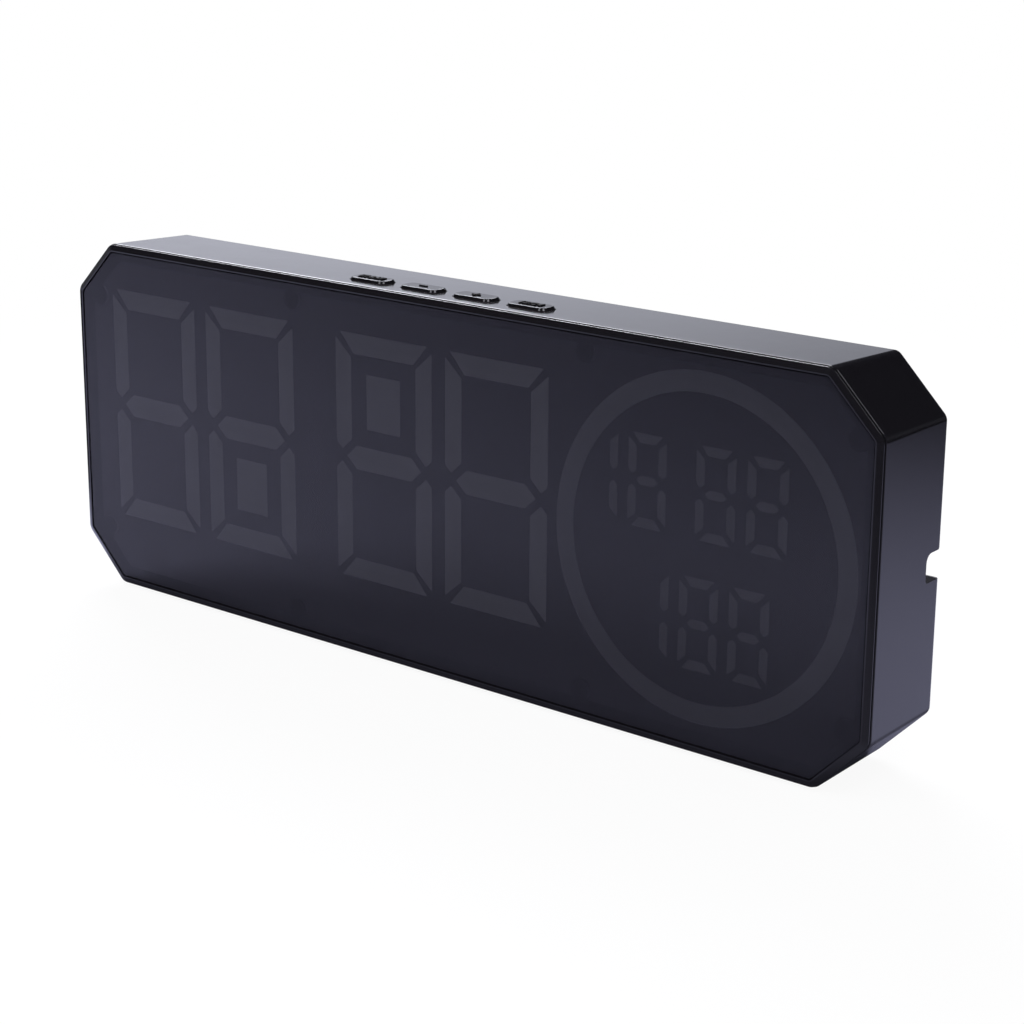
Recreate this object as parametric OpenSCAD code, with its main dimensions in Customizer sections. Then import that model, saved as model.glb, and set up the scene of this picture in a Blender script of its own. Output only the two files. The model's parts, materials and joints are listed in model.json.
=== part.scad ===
// A large-figure desk and wall clock: a one-piece rear housing with eight walls, closed at the front
// by a thin frame that carries a smoked lens over a moulded light mask.
// X runs along the clock, Y from the face to the back, Z up. The origin is on the surface that the clock
// stands on, under the middle of the housing.

/* [Housing] */
// Length of the clock from side to side
body_w = 304; // [302:1:340]
// Height of the housing without its feet
body_h = 114; // [113:1:130]
// Depth from the face of the frame to the back
body_d = 34; // [31.5:0.5:40]
// Leg of each cut corner
corner_cut = 16; // [14:0.5:18]
// Rounding of the eight long edges
vertex_r = 4; // [2.5:0.5:5]
// How much each wall leans in from the face to the back
draft = 1; // [0.2:0.1:1.4]
// Thickness of the housing's walls
wall = 2.2; // [1.8:0.1:2.6]
// Thickness of the back
back_t = 2.2; // [1.8:0.1:2.6]
// Rounding of the edge round the back
rear_edge_r = 1.2; // [0.6:0.1:1.6]
// Rounding of the edge next to the frame
front_edge_r = 0.35; // [0.1:0.05:0.6]
// Thickness of the thinned lip that the frame plugs into
lip_t = 1; // [0.8:0.1:1.2]
// Depth of the thinned lip
lip_depth = 3; // [2.5:0.1:4]

/* [Front frame and lens] */
// Thickness of the rim that shows
rim_t = 1; // [0.8:0.1:1.4]
// Step from the housing's outline in to the rim
rim_step = 0.25; // [0.1:0.05:0.5]
// Rounding of the rim's outer edge
rim_edge_r = 0.2; // [0.1:0.05:0.25]
// Share of the rim's width that slopes back to its outer edge
rim_slope_share = 0.8; // [0.5:0.05:0.85]
// Share of the rim's thickness that the slope falls
rim_fall_share = 0.65; // [0.3:0.05:0.7]
// Width of the shadow groove between the rim and the housing
groove_w = 0.45; // [0.3:0.05:0.8]
// Distance from the housing's outline in to the lens
lens_inset = 2.7; // [2.4:0.1:3]
// Gap round the lens
lens_gap = 0.3; // [0.2:0.05:0.4]
// Thickness of the lens
lens_t = 2; // [1.5:0.1:2.4]
// How far the lens lies behind the rim's face
lens_recess = 0.25; // [0.1:0.05:0.5]
// Rounding of the lens's corners
lens_corner_r = 0.8; // [0.4:0.1:1.5]
// Width of the shelf behind the lens
shelf_w = 2.9; // [2.5:0.1:3.4]
// Thickness of the shelf
shelf_t = 1; // [0.8:0.1:1.2]

/* [Large digits] */
// Distance from the housing's side to the first digit
digit_inset = 13.4; // [13.2:0.1:14]
// Distance from the housing's top to the digits
digit_top_inset = 15.1; // [14:0.1:18]
// Distance from the housing's underside to the digits
digit_low_inset = 22.9; // [22:0.1:26]
// Gap between the two digits of a pair
digit_space = 5; // [4:0.1:6]
// Gap between the two pairs
pair_space = 17.9; // [17:0.1:20]
// Gap between the last digit and the ring
ring_space = 3.2; // [3:0.1:4]
// Width of a large segment against the width of its digit
digit_stroke_share = 0.167; // [0.13:0.001:0.18]
// Height of the middle bar of a large digit
digit_bar = 7.4; // [6:0.1:8]
// Gap between large segments
digit_gap = 1.2; // [1:0.1:1.4]
// How much of the width inside a digit's loop a square light takes
square_w_share = 0.53; // [0.4:0.01:0.6]
// How much of the height inside a digit's loop a square light takes
square_h_share = 0.61; // [0.4:0.01:0.65]

/* [Ring and small digits] */
// Distance from the ring light to the housing's top and underside
ring_top_inset = 7.6; // [7.5:0.1:12]
// Width of the ring light
ring_band = 6.1; // [4:0.1:6.2]
// Inner radius of the ring that the sizes of the small digits below are drawn for
small_ring_r = 43.3; // [43:0.1:46]
// Distance from the housing's side to the ring
ring_inset = 7.1; // [6.9:0.1:9]
// Width of a small digit
small_w = 13; // [11:0.2:13.2]
// Height of a small digit
small_h = 26.6; // [22:0.2:27]
// Width of a small segment
small_stroke = 2.9; // [2.4:0.1:3]
// Height of the middle bar of a small digit
small_bar = 2.7; // [2.4:0.1:3]
// Gap between small segments
small_gap = 0.9; // [0.8:0.1:1.1]
// Distance between two small digits
small_pitch = 16.4; // [15.8:0.2:16.6]
// Distance between the two groups of the upper row
group_pitch = 39; // [38.4:0.2:40]
// First cell of the upper row, from the ring's centre
upper_row_x = -34.6; // [-35:0.2:-34]
// Middle of the upper row above the ring's centre
upper_row_z = 16; // [15:0.2:17]
// First cell of the lower row, from the ring's centre
lower_row_x = -16.5; // [-17:0.2:-16]
// Middle of the lower row below the ring's centre
lower_row_z = 21.1; // [20:0.2:22]

/* [Light mask and board] */
// Thickness of the mask's front plate
mask_plate_t = 1.5; // [1.2:0.1:1.8]
// Depth of the mask from its face to the board
mask_d = 6.5; // [6:0.1:7]
// Wall of the collars round the light wells
collar_t = 0.9; // [0.8:0.1:1]
// Depth of the seats that hold the light pieces
seat_d = 2.2; // [1.8:0.1:2.6]
// Width of the ledge that each light piece sits on
seat_ledge = 0.5; // [0.4:0.05:0.6]
// Thickness of the circuit boards
board_t = 1.6; // [1.2:0.1:1.8]

/* [Buttons] */
// Length of a button's top
button_l = 14.4; // [12:0.2:15]
// Width of a button's top
button_w = 6.6; // [6.2:0.1:7]
// How far a button stands out of the housing
button_rise = 0.9; // [0.6:0.1:1.2]
// Distance between buttons
button_pitch = 20.2; // [18.6:0.2:21]
// Distance from the face back to the buttons' middle
button_set_back = 10.6; // [9.6:0.1:11]
// Rounding of a button's corners
button_corner_r = 2.2; // [1.5:0.1:3]
// Rounding of a button's upper edge
button_edge_r = 0.6; // [0.3:0.1:0.8]
// Travel of a button
button_travel = 0.5; // [0.3:0.05:0.6]

/* [Cable channel and socket] */
// Height of the cable channel
channel_h = 8.1; // [7:0.1:9]
// Depth of the cable channel
channel_d = 7.6; // [6.5:0.1:8]
// Height of the channel's floor above the housing's underside
channel_rise = 53.7; // [50:0.1:56]
// Rounding of the mouth's outer edge above the cable
mouth_r = 1.8; // [1:0.1:2.2]
// Rounding in the channel's upper corner
channel_upper_r = 2.5; // [1:0.1:3]
// Rounding in the channel's lower corner
channel_lower_r = 1; // [0.5:0.1:2]
// Length of the well that the plug lies in
well_l = 34; // [30:0.5:40]
// Height of the plug well
well_h = 20; // [18:0.5:22]
// Depth of the plug well
well_d = 11.7; // [11.2:0.1:12]
// Distance from the middle of the clock to the well
well_x = 6; // [4:0.5:10]

/* [Back] */
// Distance of each keyhole from the middle of the clock
keyhole_x = 90; // [80:1:100]
// Height of the keyholes above the housing's middle
keyhole_rise = 30; // [26:0.5:32]
// Radius of a keyhole's entry
keyhole_entry_r = 4.5; // [4.2:0.1:5]
// Half the width of a keyhole's slot
keyhole_slot_r = 2.5; // [2.3:0.1:2.8]
// How far a screw head slides up a keyhole
keyhole_travel = 8; // [7:0.5:10]
// Depth behind the back for the wall screw's head
keyhole_head_d = 4; // [3:0.5:5]
// Length of the battery door
door_w = 36; // [35:0.5:40]
// Height of the battery door
door_h = 26; // [25:0.5:30]
// Thickness of the battery door
door_t = 1.8; // [1.4:0.1:2]
// Distance of the battery door from the middle of the clock
door_x = -48; // [-52:0.5:-46]

/* [Feet] */
// Length of a foot
foot_l = 36; // [24:1:50]
// Width of a foot
foot_w = 14; // [10:0.5:16]
// How far the feet stand out at the front
foot_h = 1; // [0.8:0.1:2]
// Distance from the housing's side to the foot
foot_inset = 26; // [20:1:50]

/* [Hidden] */
$fn = 48;
arc_steps = 5;
overrun = 1;
sliver = 0.01;
fit = 0.1;
running_fit = 0.05;
clear = 0.3;

// Colours
housing_colour = [0.10, 0.10, 0.11];
frame_colour = [0.08, 0.08, 0.09];
lens_colour = [0.13, 0.13, 0.15, 0.6];
mask_colour = [0.15, 0.15, 0.16];
light_colour = [0.75, 0.76, 0.80];
board_colour = [0.05, 0.25, 0.15];
chip_colour = [0.08, 0.08, 0.08];
metal_colour = [0.75, 0.75, 0.72];
brass_colour = [0.80, 0.65, 0.30];
rubber_colour = [0.12, 0.12, 0.12];

// Planes across the depth
front_y = -body_d / 2;
rear_y = body_d / 2;
shell_y = front_y + rim_t + groove_w;
lip_end_y = shell_y + lip_depth;
lens_y = front_y + lens_recess;
rim_slope_w = (lens_inset - lens_gap - rim_step) * rim_slope_share;
rim_fall = rim_t * rim_fall_share;
shelf_y = lens_y + lens_t;
mask_y = shelf_y + shelf_t;
board_y = mask_y + mask_d;
board_rear_y = board_y + board_t;
inner_rear_y = rear_y - back_t;
under_z = foot_h;
top_z = foot_h + body_h;
mid_z = foot_h + body_h / 2;
min_fillet = 0.5;

// Frame screws: one near each cut corner and two along the top and bottom
boss_r = 3;
boss_reach = 3.6;
pillar_r = 3.6;
boss_end_y = board_rear_y + boss_reach;
pilot_r = 1.3;
shank_r = 1.25;
shank_l = 8;
head_r = 2.4;
head_t = 1.8;
sink_r = head_r + clear;
screw_web_t = 2.4;
side_boss_inset = 8.5;
side_boss_drop = 2;
edge_boss_inset = 8;
edge_boss_x = 56;
side_boss_x = body_w / 2 - side_boss_inset;
side_boss_rise = body_h / 2 - corner_cut - side_boss_drop;
edge_boss_rise = body_h / 2 - edge_boss_inset;
boss_places = [
    for (x = [-1, 1], z = [-1, 1]) [x * side_boss_x, mid_z + z * side_boss_rise],
    for (x = [-1, 1], z = [-1, 1]) [x * edge_boss_x, mid_z + z * edge_boss_rise],
];

// Where the figures stand
ring_r = body_h / 2 - ring_top_inset;
ring_x = body_w / 2 - ring_inset - ring_r;
digit_h = body_h - digit_top_inset - digit_low_inset;
digit_z = under_z + digit_low_inset + digit_h / 2;
digits_w = ring_x - ring_r - ring_space + body_w / 2 - digit_inset;
digit_w = (digits_w - 2 * digit_space - pair_space) / 4;
digit_stroke = digit_w * digit_stroke_share;
digit_pitch = digit_w + digit_space;
pair_pitch = 2 * digit_w + digit_space + pair_space;
first_digit_x = -body_w / 2 + digit_inset + digit_w / 2;
digit_xs = [for (pair = [0, 1], place = [0, 1]) first_digit_x + pair * pair_pitch + place * digit_pitch];
minute_mid_x = (digit_xs[2] + digit_xs[3]) / 2;
square_w = (digit_w - 2 * digit_stroke) * square_w_share;
square_h = (digit_h / 2 - digit_stroke - digit_bar / 2) * square_h_share;
square_offset = (digit_h / 2 - digit_stroke + digit_bar / 2) / 2;
mitre_share = 0.87;
clip_share = 1.5;
tip_slope_share = 0.92;
large_tip_share = 0.375;
small_tip_share = 0.5;
large = [digit_w, digit_h, digit_stroke, digit_bar, digit_gap, digit_stroke * large_tip_share];
small_share = (ring_r - ring_band) / small_ring_r;
small = small_share * [small_w, small_h, small_stroke, small_bar, small_gap, small_stroke * small_tip_share];
upper_cells = [for (x = [0, small_pitch, group_pitch, group_pitch + small_pitch])
    ring_x + small_share * (upper_row_x + x)];
lower_cells = [for (i = [0, 1, 2]) ring_x + small_share * (lower_row_x + i * small_pitch)];
upper_z = mid_z + small_share * upper_row_z;
lower_z = mid_z - small_share * lower_row_z;
square_places = [[digit_xs[1], digit_z - square_offset], [digit_xs[2], digit_z + square_offset]];

// Light mask and board
mask_step = 1.9;
mask_inset = lens_inset + mask_step;
ring_wall_r = ring_r + collar_t + seat_ledge;
ring_floor_t = 1;
block_margin = 1;
block_foot = 8;
block_left = digit_xs[0] - digit_w / 2 - collar_t - seat_ledge;
block_low = digit_z - digit_h / 2 - block_foot;
block_high = digit_z + digit_h / 2 + collar_t + block_margin;
block_rib_t = 1.2;
post_r = 2.6;
post_pilot_r = 0.85;
board_screw_r = 0.8;
board_screw_l = 6;
board_head_r = 1.9;
board_head_t = 1.3;
pair_gap_x = (digit_xs[1] + digit_xs[2]) / 2;
low_screw_z = block_low + post_r + block_rib_t / 2;
between_rows_z = (upper_z + lower_z) / 2;
row_screw_x = 22;
board_screw_places = [
    [digit_xs[0], low_screw_z], [pair_gap_x, low_screw_z], [digit_xs[3], low_screw_z],
    [pair_gap_x, digit_z + digit_h / 2 - post_r],
    for (side = [-1, 1]) [ring_x + side * small_share * row_screw_x, between_rows_z],
];
prop_r = 2.5;
ring_prop_share = 0.72;
prop_places = [
    [digit_xs[0], digit_z], [minute_mid_x, low_screw_z + pillar_r * 2],
    [ring_x + ring_r * ring_prop_share, mid_z],
];

// Light sources
led_w = 1.2;
led_t = 0.7;
ring_led_count = 24;
ring_led_angles = [for (i = [0 : ring_led_count - 1]) (2 * i + 1) * 180 / ring_led_count];
ring_hole_r = 2.1;
ring_mid_r = ring_r - ring_band / 2;

// Button stack
button_y = front_y + button_set_back;
button_xs = [for (i = [0 : 3]) (i - 1.5) * button_pitch];
lean = draft / (rear_y - shell_y);
skin_z = top_z - lean * (button_y - shell_y);
button_top_z = skin_z + button_rise;
guide_d = 1.2;
guide_t = 1.6;
guide_z = top_z - wall - guide_d - (top_z - skin_z);
flange_t = 1.1;
flange_w = 0.8;
stem_r = 1.6;
stem_l = 0.8;
flange_z = guide_z - fit - flange_t;
plunger_z = flange_z - stem_l;
plunger_r = 1.7;
plunger_in = 1.2;
plunger_out = 1;
switch_w = 6;
switch_h = 3.5;
switch_top_z = plunger_z - plunger_out;
button_board_z = switch_top_z - switch_h;
button_board_end = 16;
button_board_l = 3 * button_pitch + 2 * button_board_end;
button_board_w = 9.5;
button_board_shift = 0.6;
button_board_y = button_y + button_board_shift;
board_boss_r = 2.4;
board_boss_gap = 2;
board_boss_x = button_xs[3] + button_l / 2 + flange_w + board_boss_r + board_boss_gap;
switch_bore_d = plunger_in + button_travel + fit;

// Cable channel, plug well and socket
channel_z = under_z + channel_rise;
channel_mid_z = channel_z + channel_h / 2;
channel_y = rear_y - channel_d;
duct_t = 1.6;
well_y = rear_y - well_d;
well_corner_r = 2;
jack_depth = 6.8;
jack_y = rear_y - jack_depth;
jack_bore_r = 3.15;
jack_bore_d = 9.5;
jack_pin_r = 1;
jack_nose_r = 4.4;
jack_l = 13;
jack_w = 9;
jack_h = 11;
jack_tag_l = 2.2;
jack_tag_gap = 2.2;
wire_r = 0.8;
wire_bend_r = 2.4;
cradle_t = 1.4;

// Battery compartment
cell_r = 10;
cell_t = 3.2;
cell_cap_r = 8.9;
cell_rim_t = 0.5;
door_z = mid_z;
cell_x = door_x;
cell_well_r = cell_r + clear;
leaf_t = 0.5;
cell_rear_y = rear_y - door_t - fit;
cell_front_y = cell_rear_y - cell_t;
cell_floor_y = cell_front_y - leaf_t;
cell_floor_t = 1.5;
leaf_r = 5;
tag_r = 0.9;
cell_tag_l = 2;
door_screw_inset = 3.4;
door_screw_x = door_w / 2 - door_screw_inset;
door_screw_r = 0.95;
door_head_r = 1.7;
door_head_t = 0.9;
door_screw_l = 4.5;
door_hole_r = 1.15;
door_corner_r = 2;

// Chips and small parts, each as [x, z, length, width, height, legs on a side]
controller_set = 14;
controller_rise = 16;
controller_x = minute_mid_x - controller_set;
left_driver_set = 1;
left_driver_rise = 18;
left_driver_x = digit_xs[1] + left_driver_set;
right_driver_set = 23.5;
right_driver_drop = 24;
right_driver_x = ring_x - right_driver_set;
controller = [controller_x, block_low + controller_rise, 10, 10, 1.6, 8];
left_driver = [left_driver_x, digit_z + left_driver_rise, 18, 7.5, 2.4, 10];
right_driver = [right_driver_x, mid_z - right_driver_drop, 18, 7.5, 2.4, 10];
driver_parts = [left_driver, right_driver];
leg_pitch = 1.27;
leg_w = 0.5;
leg_l = 1.2;
leg_t = 0.4;
crystal_gap = 9.5;
crystal_x = controller_x - crystal_gap;
crystal_l = 8;
crystal_r = 1.5;
capacitor_gap = 19;
capacitor_x = controller_x - capacitor_gap;
capacitor_r = 4;
capacitor_l = 7;
capacitor_rim_r = 0.6;
buzzer_set = 15.4;
buzzer_x = digit_xs[0] + buzzer_set;
buzzer_rise = 18;
buzzer_r = 6;
buzzer_h = 7.5;
buzzer_hole_r = 1.2;
sound_hole_r = 1;
sound_hole_pitch = 4;
sensor_set = 17.9;
sensor_x = pair_gap_x + sensor_set;
sensor_bead_r = 1.4;
sensor_lead_r = 0.3;
sensor_lead_l = 5;
sensor_lead_gap = 1.3;
plug_l = 14;
plug_h = 4;
plug_w = 3.6;
ribbon_w = 10;
ribbon_t = 0.6;
ribbon_x = 0;

// Feet
foot_x = body_w / 2 - foot_inset - foot_l / 2;
foot_sink_share = 0.45;
foot_top_z = under_z + wall * foot_sink_share;
foot_flat = 1;
foot_corner_r = foot_w / 2 - foot_flat;

// Outlines

function unit(v) = v / norm(v);

// The rounded corner at b of an outline that runs anticlockwise from a through b to c
function corner_arc(a, b, c, r) =
    let (to_a = unit(a - b), to_c = unit(c - b), half = acos(to_a * to_c) / 2)
    let (centre = b + unit(to_a + to_c) * r / sin(half), first = b + to_a * r / tan(half) - centre)
    let (start = atan2(first[1], first[0]), sweep = 180 - 2 * half)
    [for (i = [0 : arc_steps]) let (a = start + sweep * i / arc_steps) centre + r * [cos(a), sin(a)]];

function rounded(points, r) =
    let (n = len(points))
    [for (i = [0 : n - 1]) each corner_arc(points[(i + n - 1) % n], points[i], points[(i + 1) % n], r)];

// An anticlockwise outline with every side moved out by d
function grown(points, d) =
    let (n = len(points))
    [for (i = [0 : n - 1])
        let (before = unit(points[i] - points[(i + n - 1) % n]),
             after = unit(points[(i + 1) % n] - points[i]))
        let (out_a = [before[1], -before[0]], out_b = [after[1], -after[0]])
        points[i] + d * (out_a + out_b) / (1 + out_a * out_b)];

// The clock's eight-sided outline with all sides moved in by the same amount
function octagon(inset) =
    let (w = body_w / 2 - inset, h = body_h / 2 - inset, c = corner_cut - inset * (2 - sqrt(2)))
    [[w, -h + c], [w, h - c], [w - c, h], [-w + c, h], [-w, h - c], [-w, -h + c], [-w + c, -h], [w - c, -h]];

function fillet_at(inset) = max(min_fillet, vertex_r - inset);

function shell_inset(y) = lean * (y - shell_y);

// A flat outline in X and Z given thickness t, starting at y
module upright(y, t) translate([0, y + t, 0]) rotate([90, 0, 0]) linear_extrude(t) children();

module plate(y, t, inset, r) upright(y, t) translate([0, mid_z]) polygon(rounded(octagon(inset), r));

// A solid through a list of stations, each as [y, inset]
module loft(stations) hull() for (s = stations) plate(s[0], sliver, s[1], fillet_at(s[1]));

// A straight round bar along Y from y to y + l
module bar(x, z, y, r, l) translate([x, y + l, z]) rotate([90, 0, 0]) cylinder(r = r, h = l);

module pad(w, h, r) translate([-w / 2, -h / 2]) polygon(rounded([[0, 0], [w, 0], [w, h], [0, h]], r));

// A box from corner a to corner b
module block(a, b) translate(a) cube(b - a);

// Segments of a digit

function mirror_x(points) = [for (i = [len(points) - 1 : -1 : 0]) [-points[i][0], points[i][1]]];
function mirror_z(points) = [for (i = [len(points) - 1 : -1 : 0]) [points[i][0], -points[i][1]]];

// The bar along the top of a digit d = [width, height, stroke, middle bar, gap, tip]
function top_bar(d) =
    let (a = d[0] / 2 - d[4] * clip_share, b = d[1] / 2, m = d[2] * mitre_share)
    [[a, b], [-a, b], [-a + m, b - d[2]], [a - m, b - d[2]]];

// The upright at the upper left
function upper_left(d) =
    let (a = d[0] / 2, b = d[1] / 2 - d[4] * clip_share, low = d[4] * clip_share, inner = d[2] - d[5])
    [[-a, b], [-a, low + d[5] * tip_slope_share], [-a + d[5], low],
     [-a + d[2], low + inner * tip_slope_share], [-a + d[2], b - d[2] * mitre_share]];

// The bar across the middle
function middle_bar(d) =
    let (tip = d[0] / 2 - d[5] - d[4] * clip_share, h = d[3] / 2, flat = tip - h / tip_slope_share)
    [[tip, 0], [flat, h], [-flat, h], [-tip, 0], [-flat, -h], [flat, -h]];

function right_uprights(d) = let (f = mirror_x(upper_left(d))) [f, mirror_z(f)];

function digit_outlines(d) =
    [top_bar(d), mirror_z(top_bar(d)), middle_bar(d), upper_left(d), mirror_z(upper_left(d)),
     each right_uprights(d)];

function moved(outlines, x, z) = [for (o = outlines) [for (p = o) p + [x, z]]];

function square_outline(w, h) = [[w / 2, h / 2], [-w / 2, h / 2], [-w / 2, -h / 2], [w / 2, -h / 2]];

function row_outlines(cells, z) =
    [each moved(right_uprights(small), cells[0], z),
     for (i = [1 : len(cells) - 1]) each moved(digit_outlines(small), cells[i], z)];

large_outlines = [for (x = digit_xs) each moved(digit_outlines(large), x, digit_z)];
square_outlines = [for (p = square_places) each moved([square_outline(square_w, square_h)], p[0], p[1])];
upper_outlines = row_outlines(upper_cells, upper_z);
lower_outlines = row_outlines(lower_cells, lower_z);
all_outlines = [each large_outlines, each square_outlines, each upper_outlines, each lower_outlines];

// The light pieces that fill the seats of the given outlines
module light_pieces(outlines) color(light_colour)
    for (o = outlines) upright(mask_y, seat_d) polygon(grown(o, -fit));

// Housing

module rear_housing() color(housing_colour) difference() {
    union() {
        difference() {
            housing_shell();
            housing_hollow();
        }
        intersection() {
            housing_inner_walls();
            housing_core();
        }
    }
    frame_screw_sinks();
    cable_cuts();
    for (side = [-1, 1]) keyhole(side * keyhole_x);
    battery_cuts();
    sound_holes();
    button_slots();
    foot_recesses();
}

module housing_shell() loft([
    for (a = [90 : -30 : 0])
        [shell_y + front_edge_r * (1 - sin(a)), front_edge_r * (1 - cos(a))],
    for (a = [0 : 30 : 90])
        [rear_y - sliver - rear_edge_r * (1 - sin(a)), draft + rear_edge_r * (1 - cos(a))],
]);

module housing_hollow() {
    loft([[lip_end_y, wall + shell_inset(lip_end_y)],
          [inner_rear_y - sliver, wall + shell_inset(inner_rear_y)]]);
    plate(shell_y - overrun, lip_depth + overrun + sliver, lip_t, vertex_r - lip_t);
}

// What the inner walls may fill: the inside, and half of each wall so that they are joined to it
module housing_core() loft([[lip_end_y, wall / 2 + shell_inset(lip_end_y)],
                            [rear_y - sliver - back_t / 2, wall / 2 + draft]]);

module housing_inner_walls() {
    for (p = boss_places) bar(p[0], p[1], boss_end_y + fit, pillar_r, rear_y - boss_end_y);
    for (p = boss_places) pillar_rib(p);
    for (p = prop_places) bar(p[0], p[1], board_rear_y + fit, prop_r, rear_y - board_rear_y);
    cable_duct();
    for (side = [-1, 1]) keyhole_box(side * keyhole_x);
    battery_tub();
    button_guides();
}

// A rib from a screw pillar to the wall next to it
rib_t = 1.2;
rib_set_back = 4;
rib_y = boss_end_y + rib_set_back;
module pillar_rib(p) {
    at_side = abs(p[0]) > edge_boss_x;
    out_x = at_side ? sign(p[0]) * side_boss_inset : 0;
    out_z = at_side ? 0 : sign(p[1] - mid_z) * edge_boss_inset;
    low = [min(p[0], p[0] + out_x), min(p[1], p[1] + out_z)];
    high = [max(p[0], p[0] + out_x), max(p[1], p[1] + out_z)];
    half_x = at_side ? 0 : rib_t / 2;
    half_z = at_side ? rib_t / 2 : 0;
    block([low[0] - half_x, rib_y, low[1] - half_z], [high[0] + half_x, rear_y, high[1] + half_z]);
}

module frame_screw_sinks() for (p = boss_places) {
    bar(p[0], p[1], boss_end_y + fit + screw_web_t, sink_r, rear_y - boss_end_y);
    bar(p[0], p[1], boss_end_y - overrun, pilot_r + fit, screw_web_t + 2 * overrun);
}

// Walls round the plug well, the socket and the channel that runs to the right-hand side
module cable_duct() {
    half_h = well_h / 2 + duct_t;
    block([well_x - duct_t, well_y - duct_t, channel_mid_z - half_h],
          [well_x + well_l + duct_t, rear_y, channel_mid_z + half_h]);
    block([well_x + well_l, channel_y - duct_t, channel_z - duct_t],
          [body_w / 2, rear_y, channel_z + channel_h + duct_t]);
    jack_cradle();
}

module jack_cradle() difference() {
    block([well_x - jack_l - cradle_t, jack_y - jack_w / 4, channel_mid_z - jack_h / 2 - fit - cradle_t],
          [well_x - duct_t, rear_y, channel_mid_z + jack_h / 2 + fit + cradle_t]);
    block([well_x - jack_l - cradle_t - overrun, jack_y - jack_w, channel_mid_z - jack_h / 2 - fit],
          [well_x - duct_t + fit, jack_y + jack_w / 2 + fit, channel_mid_z + jack_h / 2 + fit]);
}

module cable_cuts() {
    translate([well_x + well_l / 2, 0, channel_mid_z]) upright(well_y, well_d + overrun)
        pad(well_l, well_h, well_corner_r);
    translate([well_x + well_l - well_corner_r * 2, 0, 0]) rotate([90, 0, 90])
        linear_extrude(body_w / 2 + overrun) polygon(channel_section);
    channel_mouth();
    translate([well_x + overrun, jack_y, channel_mid_z]) rotate([0, -90, 0])
        cylinder(r = jack_nose_r + fit, h = duct_t + 2 * overrun);
}

// The channel across its length, in Y and Z: open at the back and rounded along its floor
channel_corners = [[rear_y + overrun, channel_z], [rear_y + overrun, channel_z + channel_h],
                   [channel_y, channel_z + channel_h], [channel_y, channel_z]];
channel_section = [
    channel_corners[0], channel_corners[1],
    each corner_arc(channel_corners[1], channel_corners[2], channel_corners[3], channel_upper_r),
    each corner_arc(channel_corners[2], channel_corners[3], channel_corners[0], channel_lower_r),
];

// The notch where the channel leaves the side wall, with its upper corner rounded off
module channel_mouth() {
    top = channel_z + channel_h;
    translate([body_w / 2 - wall - draft - duct_t, rear_y - mouth_r, top - sliver])
        difference() {
            cube([wall + draft + duct_t + overrun, mouth_r + overrun, mouth_r]);
            translate([-overrun, 0, mouth_r]) rotate([0, 90, 0])
                cylinder(r = mouth_r, h = wall + draft + duct_t + 3 * overrun);
        }
}

module keyhole_box(x) {
    r = keyhole_entry_r + duct_t + fit;
    z = mid_z + keyhole_rise;
    block([x - r, inner_rear_y - keyhole_head_d - duct_t, z - r],
          [x + r, rear_y, z + keyhole_travel + r]);
}

module keyhole(x) {
    z = mid_z + keyhole_rise;
    head_y = inner_rear_y - keyhole_head_d;
    bar(x, z, head_y, keyhole_entry_r, keyhole_head_d + back_t + overrun);
    bar(x, z + keyhole_travel, head_y, keyhole_entry_r, keyhole_head_d);
    block([x - keyhole_entry_r, head_y, z], [x + keyhole_entry_r, inner_rear_y, z + keyhole_travel]);
    bar(x, z + keyhole_travel, head_y, keyhole_slot_r, keyhole_head_d + back_t + overrun);
    block([x - keyhole_slot_r, head_y, z], [x + keyhole_slot_r, rear_y + overrun, z + keyhole_travel]);
}

module battery_tub() {
    half_w = door_w / 2 + duct_t;
    half_h = door_h / 2 + duct_t;
    block([door_x - half_w, cell_floor_y - cell_floor_t, door_z - half_h],
          [door_x + half_w, rear_y, door_z + half_h]);
}

module battery_cuts() {
    translate([door_x, 0, door_z]) upright(rear_y - door_t - fit, door_t + fit + overrun)
        pad(door_w + 2 * clear, door_h + 2 * clear, door_corner_r + clear);
    bar(cell_x, door_z, cell_floor_y, cell_well_r, cell_t + leaf_t + overrun);
    for (side = [-1, 1]) bar(door_x + side * door_screw_x, door_z, rear_y - door_t - door_screw_l - overrun,
                             door_hole_r, door_screw_l + 2 * overrun);
    bar(cell_x, door_z, cell_floor_y - cell_floor_t - overrun, tag_r + fit, cell_floor_t + 2 * overrun);
    block([cell_x - clip_w / 2 - fit, cell_floor_y - cell_floor_t - overrun, door_z + cell_r],
          [cell_x + clip_w / 2 + fit, cell_rear_y + sliver, door_z + cell_r + clip_t + 2 * fit]);
}

module sound_holes() {
    z = mid_z - buzzer_rise;
    bar(buzzer_x, z, inner_rear_y - overrun, sound_hole_r, back_t + 2 * overrun);
    for (i = [0 : 5]) bar(buzzer_x + sound_hole_pitch * cos(60 * i), z + sound_hole_pitch * sin(60 * i),
                          inner_rear_y - overrun, sound_hole_r, back_t + 2 * overrun);
}

module button_outline(grow) pad(button_l + 2 * grow, button_w + 2 * grow, button_corner_r + grow);

// A collar inside the top wall round each button, and the bosses that carry the button board
module button_guides() {
    for (x = button_xs) translate([x, button_y, guide_z]) linear_extrude(top_z - guide_z)
        button_outline(clear + guide_t);
    for (side = [-1, 1]) translate([side * board_boss_x, button_y, button_board_z])
        cylinder(r = board_boss_r, h = top_z - button_board_z);
}

module button_slots() {
    for (x = button_xs) translate([x, button_y, guide_z - overrun]) linear_extrude(top_z)
        button_outline(clear);
    for (side = [-1, 1]) translate([side * board_boss_x, button_y, button_board_z - overrun])
        cylinder(r = post_pilot_r, h = board_screw_l);
}

module foot_recesses() for (side = [-1, 1])
    translate([side * foot_x, 0, 0]) linear_extrude(foot_top_z) foot_outline(fit);

// Front frame and lens

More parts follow.
